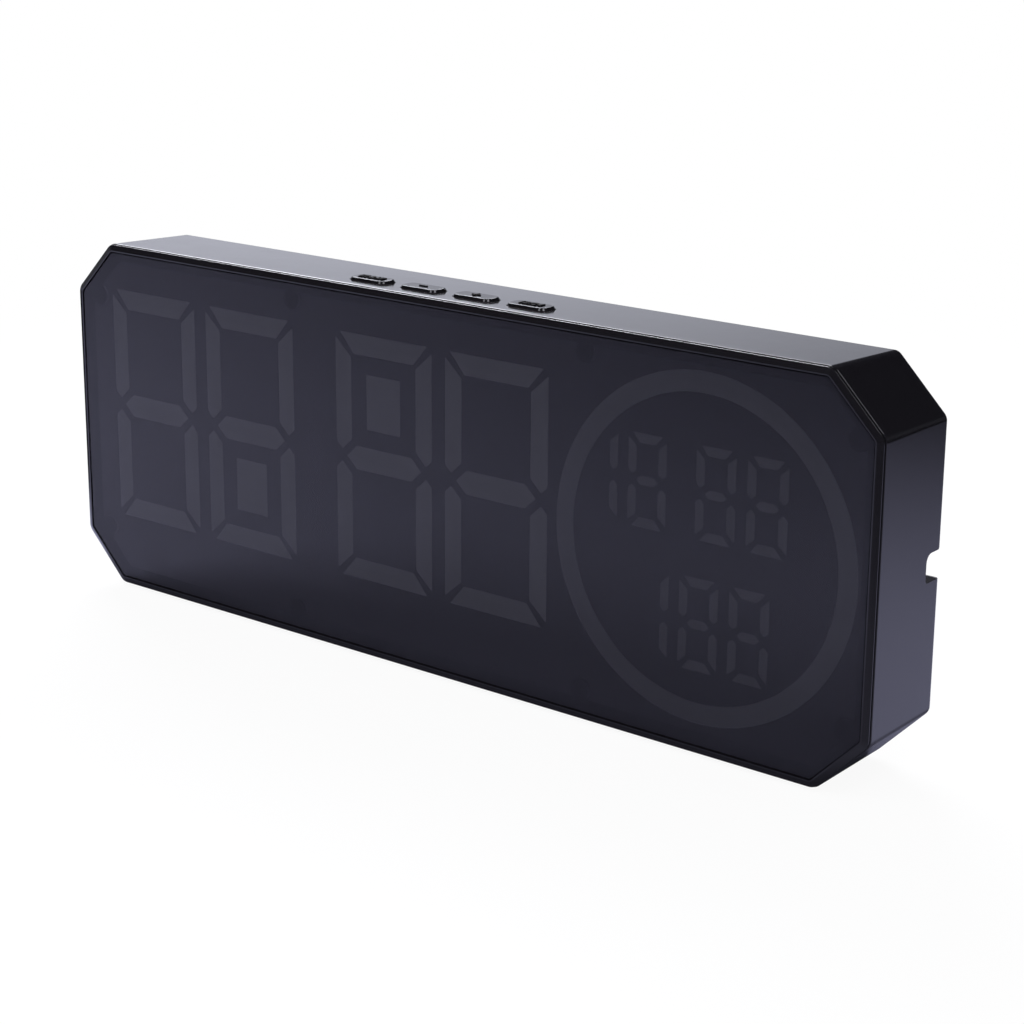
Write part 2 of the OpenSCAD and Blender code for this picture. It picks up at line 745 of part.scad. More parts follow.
module front_frame() color(frame_colour) difference() {
    union() {
        loft([
            [front_y, rim_step + rim_slope_w],
            for (a = [60 : -30 : 0])
                [front_y + rim_fall + rim_edge_r * (1 - sin(a)), rim_step + rim_edge_r * (1 - cos(a))],
            [front_y + rim_t - sliver, rim_step],
        ]);
        plate(front_y + rim_t - sliver, mask_y - front_y - rim_t, lip_t + fit, vertex_r - lip_t);
        for (p = boss_places) bar(p[0], p[1], shelf_y, boss_r, boss_end_y - shelf_y);
    }
    difference() {
        plate(front_y - overrun, mask_y - front_y + 2 * overrun, lens_inset + shelf_w, lens_corner_r);
        for (p = boss_places) bar(p[0], p[1], shelf_y, boss_r, boss_end_y - shelf_y);
    }
    plate(front_y - overrun, shelf_y - front_y + overrun, lens_inset - lens_gap, lens_corner_r + lens_gap);
    for (p = boss_places) bar(p[0], p[1], boss_end_y - shank_l, pilot_r, shank_l + overrun);
}

module display_lens() color(lens_colour) plate(lens_y, lens_t, lens_inset, lens_corner_r);

// Light mask: a black front plate with a collar round every light well

module light_mask() color(mask_colour) difference() {
    union() {
        plate(mask_y, mask_plate_t, mask_inset, fillet_at(mask_inset));
        for (o = all_outlines) upright(mask_y, mask_d) polygon(grown(o, collar_t));
        bar(ring_x, mid_z, mask_y, ring_wall_r, mask_d);
        upright(mask_y, mask_d) block_ribs();
        for (p = board_screw_places) bar(p[0], p[1], mask_y, post_r, mask_d);
    }
    ring_relief();
    for (o = all_outlines) light_well(o);
    ring_well();
    for (p = boss_places) bar(p[0], p[1], mask_y - overrun, boss_r + clear, mask_d + 2 * overrun);
    for (p = board_screw_places)
        bar(p[0], p[1], board_y - board_screw_l + board_t, post_pilot_r, board_screw_l);
}

// The rim and cross ribs that stiffen the plate behind the large digits
module block_ribs() difference() {
    translate([block_left, block_low]) square([ring_x - block_left, block_high - block_low]);
    translate([block_left + block_rib_t, block_low + block_rib_t])
        square([pair_gap_x - block_rib_t / 2 - block_left - block_rib_t,
                block_high - block_low - 2 * block_rib_t]);
    translate([pair_gap_x + block_rib_t / 2, block_low + block_rib_t])
        square([ring_x - pair_gap_x, block_high - block_low - 2 * block_rib_t]);
}

// The mask is cored out inside the ring, except for the collars and posts
module ring_relief() difference() {
    bar(ring_x, mid_z, mask_y + mask_plate_t, ring_r - ring_band - collar_t - seat_ledge, mask_d);
    for (o = concat(upper_outlines, lower_outlines)) upright(mask_y, mask_d) polygon(grown(o, collar_t));
    for (p = board_screw_places) bar(p[0], p[1], mask_y, post_r, mask_d);
}

// A light well: the seat that holds the light piece, and a narrower shaft back to the board
module light_well(o) {
    upright(mask_y - overrun, seat_d + overrun) polygon(o);
    upright(mask_y, mask_d + overrun) polygon(grown(o, -seat_ledge));
}

// The ring's groove, with a round hole in its floor for each light source
module ring_well() {
    ring_groove(mask_y - overrun, seat_d + overrun, 0);
    ring_groove(mask_y, mask_d - ring_floor_t, seat_ledge);
    for (a = ring_led_angles)
        bar(ring_x + ring_mid_r * cos(a), mid_z + ring_mid_r * sin(a), mask_y, ring_hole_r, mask_d + overrun);
}

module ring_groove(y, t, ledge) difference() {
    bar(ring_x, mid_z, y, ring_r - ledge, t);
    bar(ring_x, mid_z, y - overrun, ring_r - ring_band + ledge, t + 2 * overrun);
}

module hour_tens_segments() light_pieces(moved(digit_outlines(large), digit_xs[0], digit_z));
module hour_ones_segments() light_pieces(moved(digit_outlines(large), digit_xs[1], digit_z));
module minute_tens_segments() light_pieces(moved(digit_outlines(large), digit_xs[2], digit_z));
module minute_ones_segments() light_pieces(moved(digit_outlines(large), digit_xs[3], digit_z));
module square_lights() light_pieces(square_outlines);
module upper_row_segments() light_pieces(upper_outlines);
module lower_row_segments() light_pieces(lower_outlines);
module ring_light() color(light_colour) ring_groove(mask_y, seat_d, fit);

// Display board and what is soldered to it

module board_outline(grow) {
    translate([block_left - grow, block_low - grow])
        square([ring_x - block_left + grow, block_high - block_low + 2 * grow]);
    translate([ring_x, mid_z]) circle(r = ring_wall_r + grow);
}

module display_board() color(board_colour) difference() {
    upright(board_y, board_t) board_outline(0);
    for (p = board_screw_places)
        bar(p[0], p[1], board_y - overrun, board_screw_r + fit, board_t + 2 * overrun);
    for (dx = [-1, 1])
        bar(sensor_x + dx * sensor_lead_gap, low_screw_z, board_y - overrun, sensor_lead_r + fit,
            board_t + 2 * overrun);
}

module led(x, z) translate([x - led_w / 2, board_y - led_t, z - led_w / 2]) cube([led_w, led_t, led_w]);

function middle(points) =
    [for (i = [0, 1]) (max([for (p = points) p[i]]) + min([for (p = points) p[i]])) / 2];

module segment_leds() color(light_colour) for (o = all_outlines) let (m = middle(o)) led(m[0], m[1]);

module ring_leds() color(light_colour)
    for (a = ring_led_angles)
        led(ring_x + ring_mid_r * cos(a), mid_z + ring_mid_r * sin(a));

// A chip c = [x, z, length, width, height, legs on a side] on the back of the board
module chip(c) translate([c[0], board_rear_y, c[1]]) {
    translate([-c[2] / 2, leg_t / 2, -c[3] / 2]) cube([c[2], c[4], c[3]]);
    for (i = [0 : c[5] - 1]) translate([(i - (c[5] - 1) / 2) * leg_pitch - leg_w / 2, 0, -c[3] / 2 - leg_l])
        cube([leg_w, leg_t, c[3] + 2 * leg_l]);
}

module controller_chip() color(chip_colour) chip(controller);
module driver_chips() color(chip_colour) for (c = driver_parts) chip(c);

module clock_crystal() color(metal_colour)
    translate([crystal_x, board_rear_y + crystal_r, controller[1] - crystal_l / 2])
        cylinder(r = crystal_r, h = crystal_l);

module smoothing_capacitor() color(chip_colour)
    translate([capacitor_x, board_rear_y, controller[1]]) rotate([-90, 0, 0]) rotate_extrude()
        polygon([[0, 0], [capacitor_r, 0], [capacitor_r, capacitor_l - capacitor_rim_r],
                 [capacitor_r - capacitor_rim_r, capacitor_l], [0, capacitor_l]]);

module buzzer() color(chip_colour) difference() {
    bar(buzzer_x, mid_z - buzzer_rise, board_rear_y, buzzer_r, buzzer_h);
    bar(buzzer_x, mid_z - buzzer_rise, board_rear_y + buzzer_h / 2, buzzer_hole_r, buzzer_h);
}

module temperature_sensor() color(brass_colour) {
    for (dx = [-1, 1]) bar(sensor_x + dx * sensor_lead_gap, low_screw_z, board_y, sensor_lead_r,
                           board_t + sensor_lead_l);
    translate([sensor_x, board_rear_y + sensor_lead_l, low_screw_z]) sphere(r = sensor_bead_r);
}

slot_length_share = 1.2;
slot_width_share = 0.35;

// A pan-head screw along Y: its head starts at y and its shank runs l towards the face
module screw(x, z, y, r, l, hr, ht) difference() {
    union() {
        bar(x, z, y - l, r, l);
        bar(x, z, y, hr, ht);
    }
    for (turn = [0, 90]) translate([x, y + ht, z]) rotate([0, turn, 0])
        cube([hr * slot_length_share, ht, hr * slot_width_share], center = true);
}

module board_screws() color(metal_colour) for (p = board_screw_places)
    screw(p[0], p[1], board_rear_y, board_screw_r, board_screw_l - overrun, board_head_r, board_head_t);

module housing_screws() color(metal_colour) for (p = boss_places)
    screw(p[0], p[1], boss_end_y + fit + screw_web_t, shank_r, shank_l, head_r, head_t);

// Buttons

module cap(x) translate([x, button_y, 0]) {
    hull() {
        translate([0, 0, flange_z + flange_t - sliver])
            linear_extrude(button_top_z - button_edge_r - flange_z - flange_t) button_outline(0);
        translate([0, 0, button_top_z - button_edge_r * (1 - sin(45)) - sliver])
            linear_extrude(sliver) button_outline(-button_edge_r * (1 - cos(45)));
        translate([0, 0, button_top_z - sliver]) linear_extrude(sliver) button_outline(-button_edge_r);
    }
    translate([0, 0, flange_z]) linear_extrude(flange_t) button_outline(flange_w);
    translate([0, 0, plunger_z]) cylinder(r = stem_r, h = stem_l + sliver);
}

module plunger(x) translate([x, button_y, plunger_z - plunger_out - plunger_in])
    cylinder(r = plunger_r, h = plunger_out + plunger_in);

module left_button() color(housing_colour) cap(button_xs[0]);
module minus_button() color(housing_colour) cap(button_xs[1]);
module plus_button() color(housing_colour) cap(button_xs[2]);
module right_button() color(housing_colour) cap(button_xs[3]);
module left_plunger() color(chip_colour) plunger(button_xs[0]);
module minus_plunger() color(chip_colour) plunger(button_xs[1]);
module plus_plunger() color(chip_colour) plunger(button_xs[2]);
module right_plunger() color(chip_colour) plunger(button_xs[3]);

module switch_cases() color(metal_colour) for (x = button_xs) difference() {
    translate([x - switch_w / 2, button_y - switch_w / 2, button_board_z])
        cube([switch_w, switch_w, switch_h]);
    translate([x, button_y, switch_top_z - switch_bore_d])
        cylinder(r = plunger_r + running_fit, h = switch_bore_d + overrun);
}

module button_board() color(board_colour) difference() {
    translate([0, button_board_y, button_board_z - board_t]) linear_extrude(board_t)
        pad(button_board_l, button_board_w, min_fillet);
    for (side = [-1, 1]) translate([side * board_boss_x, button_y, button_board_z - board_t - overrun])
        cylinder(r = board_screw_r + fit, h = board_t + 2 * overrun);
}

module button_board_screws() color(metal_colour) for (side = [-1, 1])
    translate([side * board_boss_x, button_y, button_board_z - board_t]) {
        cylinder(r = board_screw_r, h = board_screw_l - overrun);
        translate([0, 0, -board_head_t]) cylinder(r = board_head_r, h = board_head_t);
    }

// The flat cable from the button board down behind the display board
ribbon_top_z = button_board_z - board_t;
ribbon_low_z = digit_z + digit_h / 4;
ribbon_y = board_rear_y + plug_w;
module button_plug() color(light_colour)
    block([ribbon_x - plug_l / 2, button_board_y + button_board_w / 2 - plug_w,
           ribbon_top_z - plug_h / 2],
          [ribbon_x + plug_l / 2, button_board_y + button_board_w / 2, ribbon_top_z]);
module board_plug() color(light_colour)
    block([ribbon_x - plug_l / 2, board_rear_y, ribbon_low_z - plug_h],
          [ribbon_x + plug_l / 2, board_rear_y + plug_w, ribbon_low_z]);
module ribbon_cable() color(metal_colour) {
    block([ribbon_x - ribbon_w / 2, ribbon_y - plug_w / 2 - ribbon_t, ribbon_low_z],
          [ribbon_x + ribbon_w / 2, ribbon_y - plug_w / 2, ribbon_top_z - plug_h / 2]);
}

// Power socket

module power_jack() color(chip_colour) difference() {
    union() {
        block([well_x - duct_t - jack_l + fit, jack_y - jack_w / 2, channel_mid_z - jack_h / 2],
              [well_x - duct_t - fit, jack_y + jack_w / 2, channel_mid_z + jack_h / 2]);
        translate([well_x, jack_y, channel_mid_z]) rotate([0, -90, 0])
            cylinder(r = jack_nose_r, h = duct_t + fit + sliver);
    }
    translate([well_x + overrun, jack_y, channel_mid_z]) rotate([0, -90, 0])
        cylinder(r = jack_bore_r, h = jack_bore_d + overrun);
    translate([well_x, jack_y, channel_mid_z]) rotate([0, -90, 0])
        cylinder(r = jack_pin_r, h = jack_l + duct_t + overrun);
}

module jack_pin() color(metal_colour) {
    tag_x = well_x - duct_t - jack_l + fit - jack_tag_l;
    translate([well_x - jack_tag_l, jack_y, channel_mid_z]) rotate([0, -90, 0])
        cylinder(r = jack_pin_r, h = well_x - jack_tag_l - tag_x);
}

// Two wires from the socket round to the board
module jack_wires() color("firebrick") for (side = [-1, 1]) {
    tag_x = well_x - duct_t - jack_l + fit - jack_tag_l;
    z = channel_mid_z + side * jack_tag_gap;
    translate([tag_x, jack_y - wire_bend_r, z]) rotate([0, 0, 90]) rotate_extrude(angle = 90)
        translate([wire_bend_r, 0]) circle(r = wire_r);
    bar(tag_x - wire_bend_r, z, board_rear_y, wire_r, jack_y - wire_bend_r - board_rear_y + sliver);
    translate([tag_x - sliver, jack_y, z]) rotate([0, 90, 0]) cylinder(r = wire_r, h = jack_tag_l + sliver);
}

// Battery

clip_w = 5;
clip_t = 0.4;

module coin_cell() color(metal_colour) translate([cell_x, cell_front_y, door_z]) rotate([-90, 0, 0])
    rotate_extrude() polygon([[0, 0], [cell_cap_r, 0], [cell_cap_r, cell_rim_t], [cell_r, cell_rim_t],
                              [cell_r, cell_t], [0, cell_t]]);

module cell_leaf() color(brass_colour) {
    bar(cell_x, door_z, cell_floor_y, leaf_r, leaf_t);
    bar(cell_x, door_z, cell_floor_y - cell_floor_t - cell_tag_l, tag_r, cell_floor_t + cell_tag_l + sliver);
}

module cell_clip() color(brass_colour)
    block([cell_x - clip_w / 2, cell_floor_y - cell_floor_t - cell_tag_l, door_z + cell_r + fit],
          [cell_x + clip_w / 2, cell_rear_y, door_z + cell_r + fit + clip_t]);

module cell_wires() color("firebrick") {
    end_y = cell_floor_y - cell_floor_t - cell_tag_l;
    for (z = [door_z, door_z + cell_r + fit + clip_t / 2])
        bar(cell_x, z, board_rear_y, wire_r, end_y - board_rear_y);
}

module battery_door() color(housing_colour) difference() {
    translate([door_x, 0, door_z]) upright(rear_y - door_t, door_t) pad(door_w, door_h, door_corner_r);
    for (side = [-1, 1]) {
        x = door_x + side * door_screw_x;
        bar(x, door_z, rear_y - door_t - overrun, door_screw_r + fit, door_t + 2 * overrun);
        bar(x, door_z, rear_y - door_head_t - fit, door_head_r + fit, door_t);
    }
}

module door_screws() color(metal_colour) for (side = [-1, 1])
    screw(door_x + side * door_screw_x, door_z, rear_y - door_head_t - fit, door_screw_r,
          door_screw_l, door_head_r, door_head_t);

// Feet

module foot_outline(grow) pad(foot_l + 2 * grow, foot_w + 2 * grow, foot_corner_r + grow);

module foot(side) color(rubber_colour)
    translate([side * foot_x, 0, 0]) linear_extrude(foot_top_z) foot_outline(0);

module left_foot() foot(-1);
module right_foot() foot(1);

rear_housing();
front_frame();
display_lens();
light_mask();
hour_tens_segments();
hour_ones_segments();
minute_tens_segments();
minute_ones_segments();
square_lights();
ring_light();
upper_row_segments();
lower_row_segments();
display_board();
segment_leds();
ring_leds();
controller_chip();
driver_chips();
clock_crystal();
smoothing_capacitor();
buzzer();
temperature_sensor();
board_screws();
left_button();
minus_button();
plus_button();
right_button();
left_plunger();
minus_plunger();
plus_plunger();
right_plunger();
switch_cases();
button_board();
button_board_screws();
button_plug();
board_plug();
ribbon_cable();
power_jack();
jack_pin();
jack_wires();
coin_cell();
cell_leaf();
cell_clip();
cell_wires();
battery_door();
door_screws();
housing_screws();
left_foot();
right_foot();
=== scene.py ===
"""Looks, stage and camera for a digital alarm clock with large figures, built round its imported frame."""

import json
import math

import bmesh
import bpy
from bpy.props import FloatProperty, FloatVectorProperty, IntProperty, PointerProperty
from mathutils import Matrix, Vector


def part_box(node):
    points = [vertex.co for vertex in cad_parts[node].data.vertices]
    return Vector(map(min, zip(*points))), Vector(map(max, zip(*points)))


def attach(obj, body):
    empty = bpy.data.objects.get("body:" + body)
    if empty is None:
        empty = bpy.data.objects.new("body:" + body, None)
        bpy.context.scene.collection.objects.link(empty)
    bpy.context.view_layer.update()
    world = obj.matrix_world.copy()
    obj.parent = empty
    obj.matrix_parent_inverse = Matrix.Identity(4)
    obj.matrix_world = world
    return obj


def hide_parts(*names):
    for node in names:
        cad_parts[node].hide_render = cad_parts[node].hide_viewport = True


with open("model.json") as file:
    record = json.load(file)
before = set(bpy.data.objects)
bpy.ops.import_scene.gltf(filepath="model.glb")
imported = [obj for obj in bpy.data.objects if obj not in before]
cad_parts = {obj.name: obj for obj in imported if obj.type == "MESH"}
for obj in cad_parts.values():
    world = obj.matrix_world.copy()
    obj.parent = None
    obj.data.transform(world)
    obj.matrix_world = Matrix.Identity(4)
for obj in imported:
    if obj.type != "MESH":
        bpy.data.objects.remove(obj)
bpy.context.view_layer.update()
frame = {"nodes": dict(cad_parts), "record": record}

bl_info = {
    "name": "Large Figure Alarm Clock",
    "version": (1, 0, 0),
    "blender": (4, 5, 0),
    "location": "View3D > Sidebar > Clock",
    "description": "Dresses the packed clock: gloss housing, smoked lens, figures, keys, screws and stage",
    "category": "Object",
}

NODES = frame["nodes"]
BODY_OF = {node: body for body, nodes in frame["record"]["behaviour"]["bodies"].items() for node in nodes}
LARGE_FIGURES = ("hour_tens_segments", "hour_ones_segments", "minute_tens_segments", "minute_ones_segments")
SMALL_FIGURES = ("upper_row_segments", "lower_row_segments")
KEYS = ("left", "minus", "plus", "right")

# Points nearer than this are one point, and faces that turn by less are one face.
MERGE_WITHIN = 2e-6
FLAT_WITHIN = math.radians(0.2)

# Edges that turn by less are shaded smooth, and edges that turn by more are crisp enough to be rounded.
SMOOTH_BELOW = math.radians(38)
KEY_SMOOTH_BELOW = math.radians(25)
EASE_ABOVE = math.radians(60)
RIM_EASE_ABOVE = math.radians(12)

# How near to a face a point still lies on it: the frame's face, its outline, and the door's and feet's faces.
RIM_WITHIN = 0.00002
OUTLINE_WITHIN = 0.0006
FACE_WITHIN = 0.0001

# How far down a key's sides slope, and how far they run outwards for each unit of that.
KEY_CUT = 0.0007
KEY_SLOPE = 0.62

# Parts of the sign's height: a stroke's width, a bar's length, and the numerals' size and distance.
STROKE = 0.2
BAR = 1.07
NUMERAL = 0.88
NUMERAL_REACH = 0.81

BLACK = (0.0, 0.0, 0.0, 1.0)
WHITE = (1.0, 1.0, 1.0, 1.0)
COOL_WHITE = (0.92, 0.93, 1.0)

# Each lamp's place, width and height, the stage's value for its power, and whether gloss mirrors it.
LAMPS = {
    "key": ((-0.72, 0.62, 0.80), (0.8, 0.35), "key_power", True),
    "top": ((0.68, -0.32, 1.08), (0.4, 0.4), "top_power", True),
    "spark": ((-0.42, -0.92, 1.08), (0.4, 0.4), "top_power", True),
    "fill": ((0.75, -1.15, 0.95), (0.9, 0.9), "fill_power", False),
}
LAMPS_AIM = Vector((0, 0, 0.05))

# Node materials


class Value:
    """A socket that takes part in Python sums. Each sum adds its Math node."""

    def __init__(self, tree, socket):
        self.tree = tree
        self.socket = socket

    def math(self, operation, *others):
        return self.tree.node("ShaderNodeMath", {"operation": operation}, dict(enumerate((self, *others))))

    def __add__(self, other):
        return self.math("ADD", other)

    def __sub__(self, other):
        return self.math("SUBTRACT", other)

    def __mul__(self, other):
        return self.math("MULTIPLY", other)

    def __rsub__(self, other):
        return self.tree.node("ShaderNodeMath", {"operation": "SUBTRACT"}, {0: other, 1: self})

    __radd__ = __add__
    __rmul__ = __mul__


class Nodes:
    """A node tree with its output, and the methods that add nodes to it."""

    def __init__(self, tree, output):
        self.nodes = tree.nodes
        self.links = tree.links
        self.nodes.clear()
        self.output = self.nodes.new(output)

    def node(self, kind, settings=None, inputs=None, output=0):
        """Adds a node, with its settings set before its sockets, and gives one of its outputs."""
        made = self.nodes.new(kind)
        for key, setting in (settings or {}).items():
            setattr(made, key, setting)
        for key, value in (inputs or {}).items():
            if isinstance(value, Value):
                self.links.new(value.socket, made.inputs[key])
            else:
                made.inputs[key].default_value = value
        return Value(self, made.outputs[output])

    def show(self, shader):
        """Makes a shader the surface's own."""
        self.links.new(shader.socket, self.output.inputs["Surface"])

    def place(self):
        return self.node("ShaderNodeTexCoord", output="Object")

    def along(self, axis):
        """The X, Y or Z of the point that is shaded."""
        return self.node("ShaderNodeSeparateXYZ", {}, {"Vector": self.place()}, axis)

    def stretched(self, factors):
        """The point that is shaded, with each of its axes times a factor."""
        return self.node("ShaderNodeVectorMath", {"operation": "MULTIPLY"}, {0: self.place(), 1: factors})

    def noise(self, size, detail=2.0, roughness=0.5, stretch=None):
        """A soft noise from 0 to 1, with features of about the given size in metres."""
        where = self.stretched(stretch) if stretch else self.place()
        return self.node("ShaderNodeTexNoise", {},
                         {"Vector": where, "Scale": 1 / size, "Detail": detail, "Roughness": roughness})

    def cells(self, size):
        """The distance to the nearest of many scattered points that are about one size apart."""
        return self.node("ShaderNodeTexVoronoi", {}, {"Vector": self.place(), "Scale": 1 / size}, "Distance")

    def step(self, value, low, high, least=0.0, most=1.0):
        """Runs smoothly from least to most while the value runs from low to high."""
        return self.node("ShaderNodeMapRange", {"interpolation_type": "SMOOTHSTEP"},
                         {"Value": value, "From Min": low, "From Max": high, "To Min": least, "To Max": most})

    def blend(self, share, first, second):
        """Mixes two colours, which are sockets 6 and 7 of a Mix node. Its mixed colour is output 2."""
        return self.node("ShaderNodeMix", {"data_type": "RGBA"}, {0: share, 6: first, 7: second}, 2)


class Finish(Nodes):
    """A node material with one shader, whose constants are set on its sockets."""

    def __init__(self, name, shader="ShaderNodeBsdfPrincipled", **constants):
        self.material = bpy.data.materials.new(name)
        self.material.use_nodes = True
        super().__init__(self.material.node_tree, "ShaderNodeOutputMaterial")
        self.shader = self.node(shader, {}, constants)
        self.show(self.shader)

    def varies(self, socket, value):
        """Lets a value that changes over the surface feed one of the shader's sockets."""
        self.links.new(value.socket, self.shader.socket.node.inputs[socket])
        return self

    def bump(self, height, depth, strength):
        """Raises the surface by a height from 0 to 1 times the depth in metres."""
        normal = self.node("ShaderNodeBump", {}, {"Height": height, "Distance": depth, "Strength": strength})
        return self.varies("Normal", normal)


def tinted(colour, factor):
    return (*(min(1.0, part * factor) for part in colour), 1.0)


# Mesh helpers


def only(kind, items):
    """The vertices, edges or faces among what an operator gives back."""
    return [item for item in items if isinstance(item, kind)]


def mesh_from(bm, name):
    mesh = bpy.data.meshes.new(name)
    bm.to_mesh(mesh)
    bm.free()
    return mesh


def linked(name, data):
    made = bpy.data.objects.new(name, data)
    bpy.context.scene.collection.objects.link(made)
    return made


def finished_mesh(other):
    """The finished mesh of a text or of an object with modifiers. The object itself is removed."""
    bpy.context.view_layer.update()
    graph = bpy.context.evaluated_depsgraph_get()
    mesh = bpy.data.meshes.new_from_object(other.evaluated_get(graph), depsgraph=graph)
    bpy.data.objects.remove(other)
    return mesh


def put_together(parts):
    """Joins several bmeshes, each moved to its own place, into one."""
    whole = bmesh.new()
    for bm, place in parts:
        bmesh.ops.translate(bm, vec=place, verts=bm.verts)
        mesh = mesh_from(bm, "part of a whole")
        whole.from_mesh(mesh)
        bpy.data.meshes.remove(mesh)
    return whole


def merged_node(node):
    """A bmesh of a CAD node with its loose triangles merged and its flat faces joined."""
    bm = bmesh.new()
    bm.from_mesh(NODES[node].data)
    bmesh.ops.remove_doubles(bm, verts=bm.verts, dist=MERGE_WITHIN)
    bmesh.ops.dissolve_limit(bm, angle_limit=FLAT_WITHIN, verts=bm.verts, edges=bm.edges)
    return bm


def crisp_edges(bm, above=EASE_ABOVE):
    return [edge for edge in bm.edges if len(edge.link_faces) == 2 and edge.calc_face_angle() > above]


def ease(bm, edges, radius, segments=2):
    """Rounds edges by a small radius, as a mould does."""
    bmesh.ops.bevel(bm, geom=edges, offset=radius, offset_type="OFFSET", segments=segments, profile=0.5,
                    affect="EDGES", material=-1, clamp_overlap=True)


def shade(bm, smooth_below=SMOOTH_BELOW):
    """Smooth shading everywhere, except over edges that turn by more than an angle."""
    for face in bm.faces:
        face.smooth = True
    for edge in bm.edges:
        edge.smooth = len(edge.link_faces) == 2 and edge.calc_face_angle() < smooth_below


def own_piece(name, bm, finish, body):
    """Turns a bmesh into a piece that rides on a body."""
    mesh = mesh_from(bm, name)
    mesh.materials.append(finish.material)
    piece = linked(name, mesh)
    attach(piece, body)
    return piece


def stand_in(node, name, bm, finish):
    """Turns a bmesh into a piece that stands for a CAD node. Its large flat faces are shaded flat."""
    piece = own_piece(name, bm, finish, BODY_OF[node])
    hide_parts(node)
    weighted = piece.modifiers.new("flat faces first", "WEIGHTED_NORMAL")
    weighted.mode = "FACE_AREA"
    weighted.keep_sharp = True
    weighted.weight = 90


def eased_copy(node, name, finish, radius=0.0, pick=None, segments=2):
    """A CAD node again as a piece of its own, shaded smooth and with its crisp edges rounded."""
    bm = merged_node(node)
    if radius:
        ease(bm, [edge for edge in crisp_edges(bm) if not pick or pick(edge)], radius, segments)
    shade(bm)
    stand_in(node, name, bm, finish)


def dress(finish, *nodes):
    """Gives carried-over CAD nodes their material."""
    for node in nodes:
        NODES[node].data.materials.clear()
        NODES[node].data.materials.append(finish.material)


# Sizes and colours that a user would change


class ClockFinishes(bpy.types.PropertyGroup):
    """Colours and gloss of the clock's materials."""

    housing: FloatVectorProperty(name="Housing", description="Colour of the gloss plastic", subtype="COLOR",
                                 default=(0.0075, 0.0070, 0.0090), min=0, max=1)
    housing_roughness: FloatProperty(name="Housing roughness", description="Roughness of the gloss plastic",
                                     subtype="FACTOR", default=0.13, min=0, max=1)
    lens: FloatVectorProperty(name="Lens", description="Colour of the smoked lens", subtype="COLOR",
                              default=(0.0085, 0.0080, 0.0120), min=0, max=1)
    lens_smoke: FloatProperty(name="Smoke", description="How much of the light each face of the lens stops",
                              subtype="FACTOR", default=0.62, min=0, max=1)
    figures: FloatVectorProperty(name="Large figures", description="Colour of the unlit light pieces",
                                 subtype="COLOR", default=(0.65, 0.65, 0.74), min=0, max=1)
    ring: FloatVectorProperty(name="Ring", description="Colour of the unlit ring", subtype="COLOR",
                              default=(0.49, 0.49, 0.57), min=0, max=1)
    small_figures: FloatVectorProperty(name="Small figures", description="Colour of the unlit small figures",
                                       subtype="COLOR", default=(0.42, 0.42, 0.48), min=0, max=1)


class ClockDetails(bpy.types.PropertyGroup):
    """Sizes of the small forms that only the visual model has."""

    key_edge: FloatProperty(name="Key edge", description="Rounding of the keys' upper edges",
                            default=0.00012, min=0.00005, max=0.0003, unit="LENGTH")
    sign_rise: FloatProperty(name="Sign rise", description="How thick the signs on the keys are",
                             default=0.00035, min=0.0001, max=0.0008, unit="LENGTH")
    sign_size: FloatProperty(name="Sign size", description="Height of the signs on the keys",
                             default=0.0030, min=0.001, max=0.005, unit="LENGTH")
    rim_edge: FloatProperty(name="Rim edge", description="Mean rounding of the edges of the frame's face",
                            default=0.0001, min=0, max=0.0002, unit="LENGTH")
    lens_edge: FloatProperty(name="Lens edge", description="Rounding of the lens's edges",
                             default=0.00018, min=0, max=0.0005, unit="LENGTH")
    door_edge: FloatProperty(name="Door edge", description="Rounding of the battery door's outer edges",
                             default=0.0003, min=0, max=0.0006, unit="LENGTH")
    foot_edge: FloatProperty(name="Foot edge", description="Rounding of the edges of the feet's soles",
                             default=0.0004, min=0, max=0.0008, unit="LENGTH")
    screw_sides: IntProperty(name="Screw sides", description="How many sides the screw heads have",
                             default=32, min=12, max=64)


class ClockStage(bpy.types.PropertyGroup):
    """The floor, the light and the camera."""

    azimuth: FloatProperty(name="Azimuth", description="How far the camera stands round to the right",
                           default=math.radians(39.5177), subtype="ANGLE")
    elevation: FloatProperty(name="Elevation", description="How far the camera looks down",
                             default=math.radians(16.1627), subtype="ANGLE")
    roll: FloatProperty(name="Roll", description="How far the camera leans", default=math.radians(0.4494),
                        subtype="ANGLE")
    camera_place: FloatVectorProperty(name="Camera", description="Where the camera stands", unit="LENGTH",
                                      subtype="TRANSLATION", default=(0.4410, -0.5120, 0.2436))
    lens: FloatProperty(name="Focal length", description="The camera's focal length in millimetres",
                        default=82.82, min=10, max=300)
    floor_size: FloatProperty(name="Floor", description="Half the width of the floor", default=6.0,
                              unit="LENGTH", min=1)
    # The painted light that gloss sees on the floor: how far it reaches before and behind the clock, and how
    # pale it is.
    painted_pool_depth: FloatProperty(name="Pool's depth",
                              description="How far before and behind the clock the mirrored floor fades",
                              default=0.50, unit="LENGTH", min=0.1)
    painted_pool_level: FloatProperty(name="Pool's level",
                              description="How pale the floor is where the clock mirrors it",
                              subtype="FACTOR", default=0.71, min=0, max=1)
    band_low: FloatProperty(name="Horizon band", description="Height up to which the backdrop is bright",
                            default=math.radians(8.0), subtype="ANGLE")
    band_high: FloatProperty(name="Band's end", description="Height at which the backdrop has faded",
                             default=math.radians(18), subtype="ANGLE")
    key_power: FloatProperty(name="Key light",
                             description="Power of the soft light behind at the left, in watts",
                             default=23.0, min=0)
    top_power: FloatProperty(name="Small lights",
                             description="Power of each of the two small soft lights above, in watts",
                             default=3.0, min=0)
    fill_power: FloatProperty(name="Fill light", description="Power of the soft light at the front, in watts",
                              default=7.0, min=0)


# Finishes


